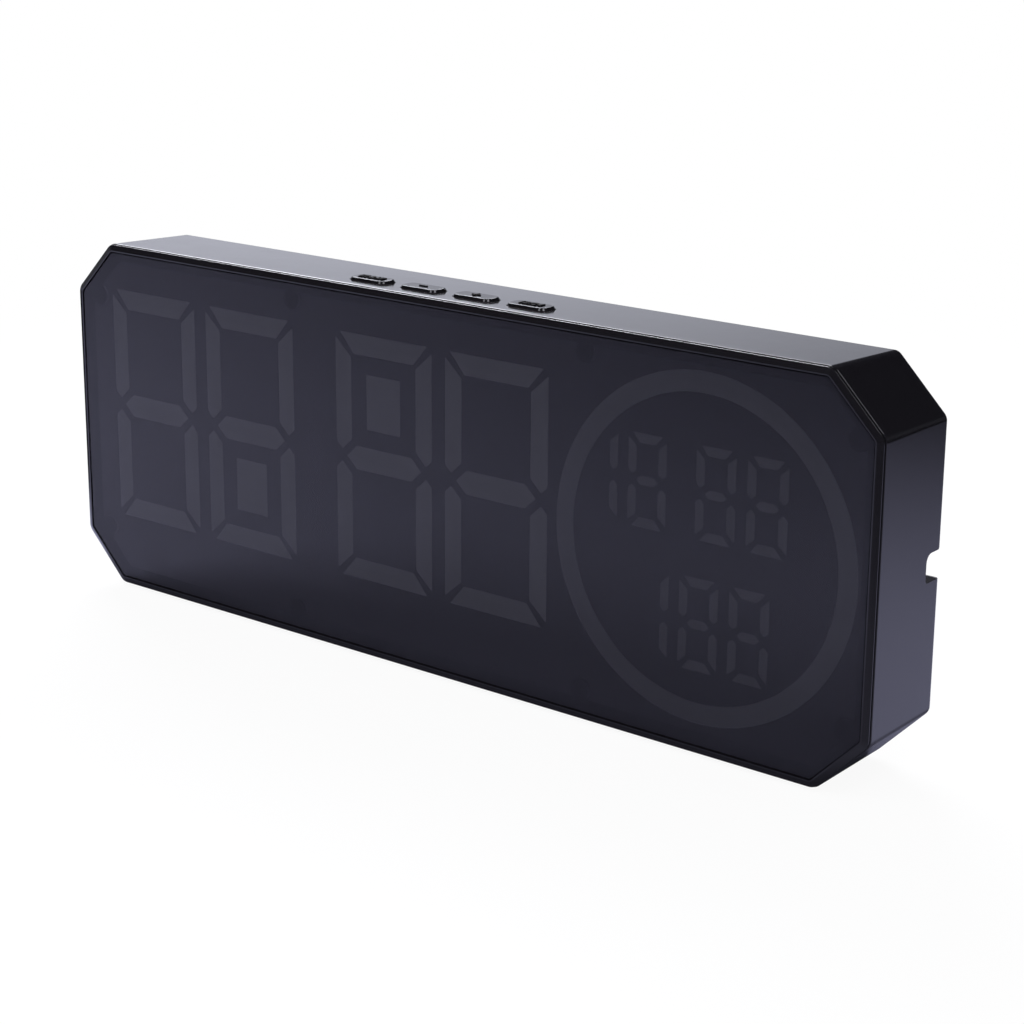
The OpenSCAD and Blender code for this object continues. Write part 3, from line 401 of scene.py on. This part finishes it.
def gloss_plastic(name, colour, roughness, rear_y=None):
    """Moulded gloss plastic: a faint orange peel, handling marks in the gloss, and a grained back."""
    finish = Finish(name, Roughness=roughness, IOR=1.5)
    cloud = finish.noise(0.045, 3.0)
    finish.varies("Base Color", finish.blend(cloud, tinted(colour, 0.88), tinted(colour, 1.12)))
    marks = finish.noise(0.012, 4.0, 0.6)
    gloss = finish.step(marks, 0.35, 0.75, roughness * 0.92, roughness * 1.12)
    peel = finish.noise(0.0035, 1.0) * 0.35
    if rear_y is None:
        finish.varies("Roughness", gloss)
        return finish.bump(peel, 0.000012, 0.4)
    back = finish.step(finish.along(1), rear_y - 0.0009, rear_y - 0.0002)
    grain = finish.noise(0.0006, 3.0, 0.7)
    finish.varies("Roughness", gloss * (1 - back) + back * (grain * 0.2 + 0.38))
    return finish.bump(peel * (1 - back) + grain * back, 0.00003, 0.35)


def smoked_acrylic(colour, smoke):
    """Smoked acrylic with a faint film of dust and wiping marks."""
    finish = Finish("smoked acrylic", Roughness=0.1, IOR=1.54, Alpha=smoke)
    cloud = finish.noise(0.09, 2.0)
    finish.varies("Base Color", finish.blend(cloud, tinted(colour, 0.9), tinted(colour, 1.1)))
    wipe = finish.noise(0.02, 4.0, 0.6, stretch=(0.35, 1.0, 1.0))
    return finish.varies("Roughness", finish.step(wipe, 0.3, 0.8, 0.095, 0.12))


def diffuser_resin(name, colour):
    """The unlit diffuser resin of a light piece, slightly mottled."""
    finish = Finish(name, IOR=1.45)
    mottle = finish.noise(0.004, 3.0)
    finish.varies("Base Color", finish.blend(mottle, tinted(colour, 0.94), tinted(colour, 1.06)))
    finish.varies("Roughness", finish.step(mottle, 0.2, 0.8, 0.45, 0.6))
    return finish.bump(finish.noise(0.0007, 2.0), 0.00002, 0.3)


def matt_plastic(name, colour, roughness, grain, ior=1.5):
    """Moulded matt plastic with a fine grain."""
    finish = Finish(name, IOR=ior)
    speckle = finish.noise(grain, 3.0, 0.65)
    finish.varies("Base Color", finish.blend(speckle, tinted(colour, 0.8), tinted(colour, 1.2)))
    finish.varies("Roughness", finish.step(speckle, 0.2, 0.8, roughness - 0.08, min(1.0, roughness + 0.08)))
    return finish.bump(speckle, 0.00003, 0.5)


def plated_metal(name, colour, roughness=0.28, stretch=(1.0, 1.0, 1.0)):
    """Plated metal with fine scratches and tarnish."""
    finish = Finish(name, Metallic=1.0)
    scratch = finish.noise(0.0004, 3.0, 0.7, stretch)
    tarnish = finish.step(finish.noise(0.003, 3.0), 0.45, 0.75)
    finish.varies("Base Color", finish.blend(tarnish, tinted(colour, 1.0), tinted(colour, 0.72)))
    finish.varies("Roughness", scratch * 0.18 + (roughness - 0.09))
    return finish.bump(scratch, 0.00001, 0.4)


def circuit_board():
    """Solder mask over a net of tracks, with tinned pads."""
    finish = Finish("circuit board", IOR=1.5)
    grid = 0.0025
    tracks = finish.node("ShaderNodeTexBrick", {"offset": 0.5, "squash": 1.0},
                         {"Vector": finish.stretched((1.0, 0.0, 1.0)), "Scale": 1 / grid,
                          "Mortar Size": 0.09, "Brick Width": 3.2, "Row Height": 0.8}, "Fac")
    pads = finish.step(finish.cells(0.004), 0.12, 0.16, 1.0, 0.0)
    mask = finish.blend(tracks, (0.006, 0.045, 0.022, 1.0), (0.012, 0.085, 0.040, 1.0))
    finish.varies("Base Color", finish.blend(pads, mask, (0.62, 0.60, 0.55, 1.0)))
    finish.varies("Metallic", pads)
    finish.varies("Roughness", finish.step(pads, 0.0, 1.0, 0.32, 0.24))
    return finish.bump(tracks * 0.5 + pads, 0.00003, 0.6)


def soft_rubber():
    """Moulded rubber with a stippled underside."""
    finish = Finish("soft rubber", IOR=1.45)
    stipple = finish.step(finish.cells(0.0011), 0.1, 0.6, 1.0, 0.0)
    dust = finish.noise(0.006, 4.0, 0.6)
    finish.varies("Base Color", finish.blend(dust, (0.014, 0.014, 0.015, 1.0), (0.028, 0.027, 0.027, 1.0)))
    finish.varies("Roughness", finish.step(dust, 0.3, 0.7, 0.72, 0.86))
    return finish.bump(stipple, 0.0001, 0.6)


def wire_sheath():
    """Red wire insulation, printed with faint bands."""
    finish = Finish("wire sheath", IOR=1.5)
    bands = finish.noise(0.0009, 2.0, 0.5, (1.0, 0.3, 1.0))
    finish.varies("Base Color", finish.blend(bands, (0.30, 0.012, 0.010, 1.0), (0.42, 0.020, 0.016, 1.0)))
    return finish.varies("Roughness", finish.step(bands, 0.3, 0.7, 0.35, 0.48))


# Operators


class CLOCK_OT_housing(bpy.types.Operator):
    """Gloss housing and front frame, smooth over their rounded edges"""

    bl_idname = "clock.housing"
    bl_label = "Housing and Frame"

    def execute(self, context):
        look = context.scene.clock_finishes
        rear_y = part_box("rear_housing")[1].y
        shell = gloss_plastic("gloss housing", look.housing, look.housing_roughness, rear_y)
        eased_copy("rear_housing", "housing_shell", shell)
        rim = gloss_plastic("gloss frame", look.housing, look.housing_roughness)
        self.front_rim(rim, context.scene.clock_details.rim_edge)
        return {"FINISHED"}

    def front_rim(self, finish, radius):
        """The front frame again. Its outline is eased less than the edges that lie further in."""
        bm = merged_node("front_frame")
        face_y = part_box("front_frame")[0].y + RIM_WITHIN
        front = [edge for edge in crisp_edges(bm, RIM_EASE_ABOVE)
                 if all(vert.co.y < face_y for vert in edge.verts)]
        outer = self.outermost(front)
        inner = [edge for edge in front if edge not in outer]
        ease(bm, outer, radius * 0.4)
        ease(bm, inner, radius * 1.6)
        shade(bm)
        stand_in("front_frame", "front_rim", bm, finish)

    def outermost(self, edges):
        """The edges on the eight-sided outline, seen from the front."""
        turns = [math.tau * step / 8 for step in range(8)]
        ways = [Vector((math.cos(turn), 0, math.sin(turn))) for turn in turns]
        ends = [max(way.dot(vert.co) for edge in edges for vert in edge.verts) for way in ways]
        return [edge for edge in edges
                if any(min(way.dot(vert.co) for vert in edge.verts) > end - OUTLINE_WITHIN
                       for way, end in zip(ways, ends))]


class CLOCK_OT_lens(bpy.types.Operator):
    """Smoked lens with eased edges"""

    bl_idname = "clock.lens"
    bl_label = "Smoked Lens"

    def execute(self, context):
        look = context.scene.clock_finishes
        radius = context.scene.clock_details.lens_edge
        eased_copy("display_lens", "smoked_lens", smoked_acrylic(look.lens, look.lens_smoke), radius)
        return {"FINISHED"}


class CLOCK_OT_figures(bpy.types.Operator):
    """Light mask, light pieces, ring and light sources"""

    bl_idname = "clock.figures"
    bl_label = "Mask and Figures"

    def execute(self, context):
        look = context.scene.clock_finishes
        dress(matt_plastic("matt mask", (0.010, 0.010, 0.011), 0.75, 0.0008), "light_mask")
        dress(diffuser_resin("large figure resin", look.figures), *LARGE_FIGURES, "square_lights")
        dress(diffuser_resin("small figure resin", look.small_figures), *SMALL_FIGURES)
        dress(diffuser_resin("ring resin", look.ring), "ring_light")
        dress(diffuser_resin("light source resin", (0.75, 0.72, 0.45)), "segment_leds", "ring_leds")
        return {"FINISHED"}


class CLOCK_OT_keys(bpy.types.Operator):
    """Four keys with straight sloping sides and a finely rounded upper edge"""

    bl_idname = "clock.keys"
    bl_label = "Keys"

    def execute(self, context):
        look = context.scene.clock_finishes
        finish = gloss_plastic("gloss key", look.housing, look.housing_roughness)
        for key in KEYS:
            self.cap(key, finish, context.scene.clock_details.key_edge)
        return {"FINISHED"}

    def cap(self, key, finish, radius):
        """Cuts the CAD cap below its rounding, raises it with sloping sides and rounds its upper edge."""
        node = f"{key}_button"
        bm = merged_node(node)
        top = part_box(node)[1].z
        cut = bmesh.ops.bisect_plane(bm, geom=[*bm.verts, *bm.edges, *bm.faces], dist=MERGE_WITHIN,
                                     plane_co=(0, 0, top - KEY_CUT), plane_no=(0, 0, 1), clear_outer=True)
        lid = bmesh.ops.contextual_create(bm, geom=only(bmesh.types.BMEdge, cut["geom_cut"]))["faces"]
        bmesh.ops.recalc_face_normals(bm, faces=bm.faces)
        bmesh.ops.inset_region(bm, faces=lid, thickness=KEY_CUT * KEY_SLOPE, depth=KEY_CUT,
                               use_even_offset=True)
        for vert in bm.verts:
            if vert.co.z > top - KEY_CUT * 0.5:
                vert.co.z = top
        upper = [edge for edge in bm.edges if min(vert.co.z for vert in edge.verts) > top - MERGE_WITHIN]
        ease(bm, upper, radius, 4)
        shade(bm, KEY_SMOOTH_BELOW)
        stand_in(node, f"{key}_key_cap", bm, finish)


def raised(bm, rise):
    """Extrudes flat faces upwards and rounds their upper edges."""
    made = bmesh.ops.extrude_face_region(bm, geom=bm.faces[:])["geom"]
    bmesh.ops.translate(bm, vec=(0, 0, rise), verts=only(bmesh.types.BMVert, made))
    bmesh.ops.recalc_face_normals(bm, faces=bm.faces)
    upper = [edge for edge in crisp_edges(bm) if min(vert.co.z for vert in edge.verts) > rise * 0.9]
    ease(bm, upper, rise * 0.45, 3)
    return bm


def raised_bar(width, depth, rise):
    """A raised bar with rounded corners."""
    bm = bmesh.new()
    bmesh.ops.create_grid(bm, x_segments=1, y_segments=1, size=0.5)
    bmesh.ops.scale(bm, vec=(width, depth, 1), verts=bm.verts)
    bmesh.ops.bevel(bm, geom=bm.verts[:], offset=min(width, depth) * 0.3, segments=4, profile=0.5,
                    affect="VERTICES", material=-1)
    return raised(bm, rise)


def raised_arc(radius, stroke, heading, sweep, rise):
    """A raised stroke along part of a circle, made by spinning one edge."""
    bm = bmesh.new()
    start = heading - sweep / 2
    ends = [bm.verts.new((reach * math.cos(start), reach * math.sin(start), 0))
            for reach in (radius - stroke / 2, radius + stroke / 2)]
    bmesh.ops.spin(bm, geom=[*ends, bm.edges.new(ends)], cent=(0, 0, 0), axis=(0, 0, 1), dvec=(0, 0, 0),
                   angle=sweep, steps=10, use_merge=False, use_duplicate=False)
    return raised(bm, rise)


def raised_bell(size, rise):
    """A raised bell without its clapper: half a disc, drawn down twice to its flared foot."""
    bm = bmesh.new()
    half_width = size * 0.27
    bmesh.ops.create_circle(bm, cap_ends=True, segments=24, radius=half_width)
    bmesh.ops.bisect_plane(bm, geom=[*bm.verts, *bm.edges, *bm.faces], dist=MERGE_WITHIN, plane_co=(0, 0, 0),
                           plane_no=(0, 1, 0), clear_inner=True)
    bmesh.ops.translate(bm, vec=(0, size * 0.16, 0), verts=bm.verts)
    for wider, drop in ((size * 0.30, size * 0.32), (size * 0.46, size * 0.14)):
        lowest = min(vert.co.y for vert in bm.verts)
        foot = [edge for edge in bm.edges if max(vert.co.y for vert in edge.verts) < lowest + MERGE_WITHIN]
        lower = only(bmesh.types.BMVert, bmesh.ops.extrude_edge_only(bm, edges=foot)["geom"])
        bmesh.ops.translate(bm, vec=(0, -drop, 0), verts=lower)
        bmesh.ops.scale(bm, vec=(wider / half_width, 1, 1), verts=lower)
        half_width = wider
    bmesh.ops.recalc_face_normals(bm, faces=bm.faces)
    bmesh.ops.dissolve_faces(bm, faces=bm.faces)
    return raised(bm, rise)


def raised_numeral(text, size, rise):
    """A raised numeral of the given height, made from Blender's own plain font, with its foot at 0."""
    curve = bpy.data.curves.new("numeral", "FONT")
    curve.body = text
    curve.size = size * 1.38
    curve.align_x = "CENTER"
    curve.align_y = "CENTER"
    curve.offset = size * 0.012
    curve.extrude = rise * 0.28
    curve.bevel_depth = rise * 0.22
    curve.bevel_resolution = 2
    curve.resolution_u = 6
    mesh = finished_mesh(linked("numeral", curve))
    bm = bmesh.new()
    bm.from_mesh(mesh)
    bpy.data.meshes.remove(mesh)
    bmesh.ops.remove_doubles(bm, verts=bm.verts, dist=MERGE_WITHIN)
    lowest = min(vert.co.z for vert in bm.verts)
    bmesh.ops.translate(bm, vec=(0, 0, -lowest), verts=bm.verts)
    return bm


class CLOCK_OT_signs(bpy.types.Operator):
    """Raised plain signs on the keys: a bell, a minus, a plus and the numerals of a 12 or 24 hour day"""

    bl_idname = "clock.signs"
    bl_label = "Key Signs"

    def execute(self, context):
        look = context.scene.clock_finishes
        detail = context.scene.clock_details
        size, rise = detail.sign_size, detail.sign_rise
        finish = matt_plastic("sign paint", tinted(look.housing, 0.3)[:3], 0.6, 0.0003, ior=1.1)
        stroke, length, numeral = size * STROKE, size * BAR, size * NUMERAL
        middle = (0, 0, 0)
        signs = {
            "left": self.bell(size, stroke, rise),
            "minus": [(raised_bar(length, stroke, rise), middle)],
            "plus": [(raised_bar(length, stroke, rise), middle), (raised_bar(stroke, length, rise), middle)],
            "right": [(raised_numeral("12", numeral, rise), (-size * NUMERAL_REACH, 0, 0)),
                      (raised_numeral("24", numeral, rise), (size * NUMERAL_REACH, 0, 0)),
                      (raised_bar(stroke * 0.6, size * 0.9, rise), middle)],
        }
        for key, parts in signs.items():
            low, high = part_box(f"{key}_button")
            bm = put_together(parts)
            seat = ((low.x + high.x) / 2, (low.y + high.y) / 2, high.z - rise * 0.08)
            bmesh.ops.translate(bm, vec=seat, verts=bm.verts)
            shade(bm)
            own_piece(f"{key}_key_sign", bm, finish, f"{key}_key")
        return {"FINISHED"}

    def bell(self, size, stroke, rise):
        """A bell with its clapper and three waves of sound at each side."""
        parts = [(raised_bell(size, rise), (0, 0, 0)),
                 (raised_bar(size * 0.3, stroke * 0.7, rise), (0, -size * 0.42, 0))]
        for side, heading in ((1, 0.0), (-1, math.pi)):
            for reach in (0.75, 1.1, 1.45):
                sweep = 2 * math.asin(0.46 / reach)
                wave = raised_arc(size * reach, stroke, heading, sweep, rise)
                parts.append((wave, (side * size * 0.02, -size * 0.02, 0)))
        return parts


def screw_blank(sides, head_r, head_t, shank_r, shank_l):
    """A pan head and its shank, spun round Z, with the head's seat at 0 and the shank below it."""
    dome = head_t * 0.35
    bm = bmesh.new()
    rim = bm.verts.new((head_r, 0, 0))
    bmesh.ops.spin(bm, geom=[rim], cent=(0, 0, 0), axis=(0, -1, 0), dvec=(0, 0, 0), angle=math.pi / 2,
                   steps=5, use_duplicate=False)
    bmesh.ops.scale(bm, vec=(1, 1, dome / head_r), verts=bm.verts)
    bmesh.ops.translate(bm, vec=(0, 0, head_t - dome), verts=bm.verts)
    profile = [(0, -shank_l), (shank_r * 0.75, -shank_l), (shank_r, -shank_l + shank_r * 0.3), (shank_r, 0),
               (head_r, 0)]
    lower = [*(bm.verts.new((x, 0, z)) for x, z in profile), rim]
    for pair in zip(lower, lower[1:]):
        bm.edges.new(pair)
    bmesh.ops.spin(bm, geom=[*bm.verts, *bm.edges], cent=(0, 0, 0), axis=(0, 0, 1), dvec=(0, 0, 0),
                   angle=math.tau, steps=sides, use_merge=True, use_duplicate=False)
    bmesh.ops.remove_doubles(bm, verts=bm.verts, dist=MERGE_WITHIN)
    bmesh.ops.recalc_face_normals(bm, faces=bm.faces)
    return bm


def cross_cutter(head_r, head_t):
    """Two crossed blades, narrower below, that cut a cross recess into a head."""
    blades = []
    for turn in (0, math.pi / 2):
        blade = bmesh.new()
        bmesh.ops.create_cube(blade, size=1.0)
        tip = [vert for vert in blade.verts if vert.co.z < 0]
        bmesh.ops.scale(blade, vec=(0.55, 0.6, 1), verts=tip)
        bmesh.ops.scale(blade, vec=(head_r * 1.15, head_r * 0.3, head_t * 1.3), verts=blade.verts)
        bmesh.ops.rotate(blade, cent=(0, 0, 0), matrix=Matrix.Rotation(turn, 3, "Z"), verts=blade.verts)
        blades.append((blade, (0, 0, head_t * 1.05)))
    return put_together(blades)


def cross_screw(sides, *sizes):
    """The mesh of a pan-head screw with a cross recess in its head."""
    blank = linked("screw blank", mesh_from(screw_blank(sides, *sizes), "screw blank"))
    cutter = linked("cross cutter", mesh_from(cross_cutter(*sizes[:2]), "cross cutter"))
    cut = blank.modifiers.new("cross recess", "BOOLEAN")
    cut.operation = "DIFFERENCE"
    cut.solver = "EXACT"
    cut.use_self = True
    cut.object = cutter
    mesh = finished_mesh(blank)
    bpy.data.objects.remove(cutter)
    return mesh


def islands(bm):
    """The groups of vertices that edges join, in the order of each one's first vertex."""
    found = set()
    for first in bm.verts:
        group, todo = [], [first]
        while todo:
            vert = todo.pop()
            if vert not in found:
                found.add(vert)
                group.append(vert)
                todo.extend(edge.other_vert(vert) for edge in vert.link_edges)
        if group:
            yield group


def middle_of(verts):
    low = Vector(min(vert.co[axis] for vert in verts) for axis in range(3))
    high = Vector(max(vert.co[axis] for vert in verts) for axis in range(3))
    return (low + high) / 2


def measured_screw(verts, out):
    """Where a CAD screw's head sits, and the radius and length of its head and of its shank."""
    centre = middle_of(verts)
    reach = {}
    for vert in verts:
        level = round(vert.co.dot(out), 6)
        flat = (vert.co - centre) - out * (vert.co - centre).dot(out)
        reach[level] = max(reach.get(level, 0.0), flat.length)
    heights = [vert.co.dot(out) for vert in verts]
    head_r = max(reach.values())
    seat = min(level for level, radius in reach.items() if radius > head_r * 0.99)
    place = centre - out * centre.dot(out) + out * seat
    return place, (head_r, max(heights) - seat, reach[min(reach)], seat - min(heights))


class CLOCK_OT_screws(bpy.types.Operator):
    """Cross-head screws in place of the plain ones"""

    bl_idname = "clock.screws"
    bl_label = "Screws"

    def execute(self, context):
        sides = context.scene.clock_details.screw_sides
        zinc = plated_metal("zinc plating", (0.62, 0.62, 0.64))
        black = plated_metal("black zinc plating", (0.10, 0.10, 0.11), 0.34)
        self.set_in("housing_screws", "housing_cross_screws", black, sides, Vector((0, 1, 0)))
        self.set_in("door_screws", "door_cross_screws", black, sides, Vector((0, 1, 0)))
        self.set_in("board_screws", "board_cross_screws", zinc, sides, Vector((0, 1, 0)))
        self.set_in("button_board_screws", "key_board_cross_screws", zinc, sides, Vector((0, 0, -1)))
        return {"FINISHED"}

    def set_in(self, node, name, finish, sides, out):
        """Measures each CAD screw of a node and puts a finer one in its place."""
        turned = Vector((0, 0, 1)).rotation_difference(out).to_matrix().to_4x4()
        bm = merged_node(node)
        whole = bmesh.new()
        for verts in islands(bm):
            place, sizes = measured_screw(verts, out)
            mesh = cross_screw(sides, *sizes)
            mesh.transform(Matrix.Translation(place) @ turned)
            whole.from_mesh(mesh)
            bpy.data.meshes.remove(mesh)
        bm.free()
        shade(whole)
        stand_in(node, name, whole, finish)


class CLOCK_OT_back(bpy.types.Operator):
    """Battery door and feet"""

    bl_idname = "clock.back"
    bl_label = "Door and Feet"

    def execute(self, context):
        look = context.scene.clock_finishes
        detail = context.scene.clock_details
        rear_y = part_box("rear_housing")[1].y
        door = gloss_plastic("grained door", look.housing, look.housing_roughness, rear_y)
        eased_copy("battery_door", "cell_door", door, detail.door_edge,
                   pick=lambda edge: all(vert.co.y > rear_y - FACE_WITHIN for vert in edge.verts))
        rubber = soft_rubber()
        for side in ("left", "right"):
            eased_copy(f"{side}_foot", f"{side}_rubber_foot", rubber, detail.foot_edge,
                       pick=lambda edge: all(vert.co.z < FACE_WITHIN for vert in edge.verts), segments=3)
        return {"FINISHED"}


class CLOCK_OT_works(bpy.types.Operator):
    """Finishes of the boards, chips, switches, wires, socket and cell inside"""

    bl_idname = "clock.works"
    bl_label = "Works"

    def execute(self, context):
        dress(circuit_board(), "display_board", "button_board")
        dress(matt_plastic("chip epoxy", (0.016, 0.016, 0.017), 0.6, 0.0003), "controller_chip",
              "driver_chips", "smoothing_capacitor", "buzzer", *(f"{key}_plunger" for key in KEYS))
        dress(matt_plastic("plug nylon", (0.70, 0.68, 0.60), 0.45, 0.0009), "button_plug", "board_plug")
        dress(matt_plastic("ribbon sheath", (0.55, 0.56, 0.58), 0.5, 0.0006), "ribbon_cable")
        dress(plated_metal("tin plating", (0.72, 0.71, 0.68)), "clock_crystal", "switch_cases", "jack_pin")
        dress(plated_metal("cell steel", (0.66, 0.67, 0.68), 0.22, (1.0, 6.0, 1.0)), "coin_cell")
        dress(plated_metal("contact brass", (0.72, 0.52, 0.20), 0.25), "cell_leaf", "cell_clip",
              "temperature_sensor")
        dress(matt_plastic("socket plastic", (0.013, 0.013, 0.014), 0.42, 0.0012), "power_jack")
        dress(wire_sheath(), "jack_wires", "cell_wires")
        return {"FINISHED"}


class CLOCK_OT_stage(bpy.types.Operator):
    """Pale floor, white backdrop and soft light"""

    bl_idname = "clock.stage"
    bl_label = "Stage"

    def execute(self, context):
        stage = context.scene.clock_stage
        self.floor(stage)
        self.world(context, stage)
        for name, (place, size, power, mirrored) in LAMPS.items():
            self.lamp(name, place, size, getattr(stage, power), mirrored)
        context.scene.view_settings.view_transform = "Standard"
        return {"FINISHED"}

    def floor(self, stage):
        """A pale floor that the camera sees nearly white, with the clock's faint shadow near it. To gloss it
        shows a painted reflection: its colour there is painted by place, paler before the clock and darker
        beneath and beside it.
        """
        bm = bmesh.new()
        bmesh.ops.create_grid(bm, x_segments=1, y_segments=1, size=stage.floor_size)
        floor = linked("floor", mesh_from(bm, "floor"))
        finish = Finish("pale floor", "ShaderNodeBsdfDiffuse")
        # Painted reflection: the colour that gloss sees on the floor is painted by place, with painted light
        # before the clock and painted shade beneath and beside it.
        mirrored = finish.blend(self.pool(finish, stage), BLACK, (0.73, 0.73, 1.0, 1.0))
        glossy = finish.node("ShaderNodeLightPath", output="Is Glossy Ray")
        finish.varies("Color", finish.blend(glossy, (0.80, 0.80, 0.80, 1.0), mirrored))
        x, y = finish.along(0), finish.along(1)
        away = (x * x + y * y).math("SQRT")
        paleness = finish.step(away, 0.1, 0.6, 0.93, 1.0)
        seen = finish.node("ShaderNodeLightPath", output="Is Camera Ray")
        white = finish.node("ShaderNodeEmission", {}, {"Color": WHITE, "Strength": 1.0})
        finish.show(finish.node("ShaderNodeMixShader", {}, {0: seen * paleness, 1: finish.shader, 2: white}))
        floor.data.materials.append(finish.material)

    def pool(self, finish, stage):
        """Painted light and painted shadow for gloss: how pale each place of the floor is to what mirrors it,
        most before the clock, least beneath it.
        """
        x, y = finish.along(0), finish.along(1)
        # Painted light before the clock, fading out before and behind it.
        front = finish.step(y, -stage.painted_pool_depth, 0.06, 0.39, 1.0)
        back = finish.step(y, 0.0, stage.painted_pool_depth, 1.0, 0.0)
        # Painted light, paler towards the far left.
        left = finish.step(x, -0.75, -0.05, 2.1, 1.0)
        # Painted shade on the floor in front of the clock's right part and left of its left end, which gloss
        # mirrors as dark.
        painted_shade_front_right = finish.step(x, 0.08, 0.24, 0.0, 0.9) * finish.step(y, -0.06, 0.0, 1.0, 0.0)
        painted_shade_rear_left = finish.step(x, -0.30, -0.17, 1.0, 0.0) * finish.step(y, -0.06, -0.01, 0.0, 1.0)
        # Painted shadow on the floor beneath the clock and a little around it.
        painted_shadow_beneath = finish.step(x.math("ABSOLUTE"), 0.152, 0.172, 1.0, 0.0)
        painted_shadow_beneath = painted_shadow_beneath * finish.step(y, -0.030, -0.017, 0.0, 1.0) * finish.step(y, 0.045, 0.070, 1.0, 0.0)
        level = front * back * left * stage.painted_pool_level
        return level * (1 - painted_shade_front_right) * (1 - painted_shade_rear_left) * (1 - painted_shadow_beneath * 0.75)

    def world(self, context, stage):
        """White to the camera, a band above the horizon at the left to gloss, and even light to the rest."""
        world = bpy.data.worlds.new("studio")
        context.scene.world = world
        world.use_nodes = True
        sky = Nodes(world.node_tree, "ShaderNodeOutputWorld")
        way = sky.node("ShaderNodeTexCoord", output="Generated")
        east, north, up = (sky.node("ShaderNodeSeparateXYZ", {}, {"Vector": way}, axis) for axis in range(3))
        band = sky.step(up, math.sin(stage.band_low), math.sin(stage.band_high), 1.07, 0.04)
        band = band * sky.step(east, -0.75, -0.35, 1.0, 0.45) * sky.step(north, 0.15, 0.5, 0.25, 1.0)
        band = band * sky.step(east, -0.35, 0.1, 1.0, 0.15)
        soft = sky.node("ShaderNodeBackground", {}, {"Color": (0.86, 0.88, 1.0, 1.0), "Strength": band})
        even = sky.node("ShaderNodeBackground", {}, {"Color": WHITE, "Strength": 0.5})
        white = sky.node("ShaderNodeBackground", {}, {"Color": WHITE, "Strength": 1.0})
        glossy = sky.node("ShaderNodeLightPath", output="Is Glossy Ray")
        seen = sky.node("ShaderNodeLightPath", output="Is Camera Ray")
        lit = sky.node("ShaderNodeMixShader", {}, {0: glossy, 1: even, 2: soft})
        sky.show(sky.node("ShaderNodeMixShader", {}, {0: seen, 1: lit, 2: white}))

    def lamp(self, name, place, size, power, mirrored):
        data = bpy.data.lights.new(name, "AREA")
        data.shape = "RECTANGLE"
        data.size, data.size_y = size
        data.energy = power
        data.color = COOL_WHITE
        lamp = linked(name, data)
        lamp.location = place
        lamp.rotation_euler = (LAMPS_AIM - Vector(place)).to_track_quat("-Z", "Y").to_euler()
        lamp.visible_glossy = mirrored


class CLOCK_OT_camera(bpy.types.Operator):
    """Camera at the photograph's viewing angle"""

    bl_idname = "clock.camera"
    bl_label = "Camera"

    def execute(self, context):
        stage = context.scene.clock_stage
        data = bpy.data.cameras.new("camera")
        data.lens = stage.lens
        data.sensor_width = 36.0
        data.clip_start, data.clip_end = 0.01, 50.0
        camera = linked("camera", data)
        round_by, up_by = stage.azimuth, stage.elevation
        back = Vector((math.sin(round_by) * math.cos(up_by), -math.cos(round_by) * math.cos(up_by),
                       math.sin(up_by)))
        aim = (-back).to_track_quat("-Z", "Y").to_matrix() @ Matrix.Rotation(stage.roll, 3, "Z")
        camera.location = stage.camera_place
        camera.rotation_euler = aim.to_euler()
        context.scene.camera = camera
        return {"FINISHED"}


class CLOCK_PT_parts(bpy.types.Panel):
    """The clock's pieces, in the order in which they are made"""

    bl_label = "Alarm Clock"
    bl_idname = "CLOCK_PT_parts"
    bl_space_type = "VIEW_3D"
    bl_region_type = "UI"
    bl_category = "Clock"

    def draw(self, context):
        for operator in OPERATORS:
            self.layout.operator(operator.bl_idname)
        for name in GROUPS:
            group = getattr(context.scene, name)
            box = self.layout.box()
            for key in group.__annotations__:
                box.prop(group, key)


GROUPS = {"clock_finishes": ClockFinishes, "clock_details": ClockDetails, "clock_stage": ClockStage}
OPERATORS = (CLOCK_OT_camera, CLOCK_OT_stage, CLOCK_OT_housing, CLOCK_OT_lens, CLOCK_OT_figures,
             CLOCK_OT_keys, CLOCK_OT_signs, CLOCK_OT_screws, CLOCK_OT_back, CLOCK_OT_works)


def register():
    for name, group in GROUPS.items():
        bpy.utils.register_class(group)
        setattr(bpy.types.Scene, name, PointerProperty(type=group))
    for cls in (*OPERATORS, CLOCK_PT_parts):
        bpy.utils.register_class(cls)


def unregister():
    for cls in reversed((*OPERATORS, CLOCK_PT_parts)):
        bpy.utils.unregister_class(cls)
    for name, group in reversed(GROUPS.items()):
        delattr(bpy.types.Scene, name)
        bpy.utils.unregister_class(group)


def main():
    register()
    for operator in OPERATORS:
        group, name = operator.bl_idname.split(".")
        getattr(getattr(bpy.ops, group), name)()


if __name__ == "__main__":
    main()
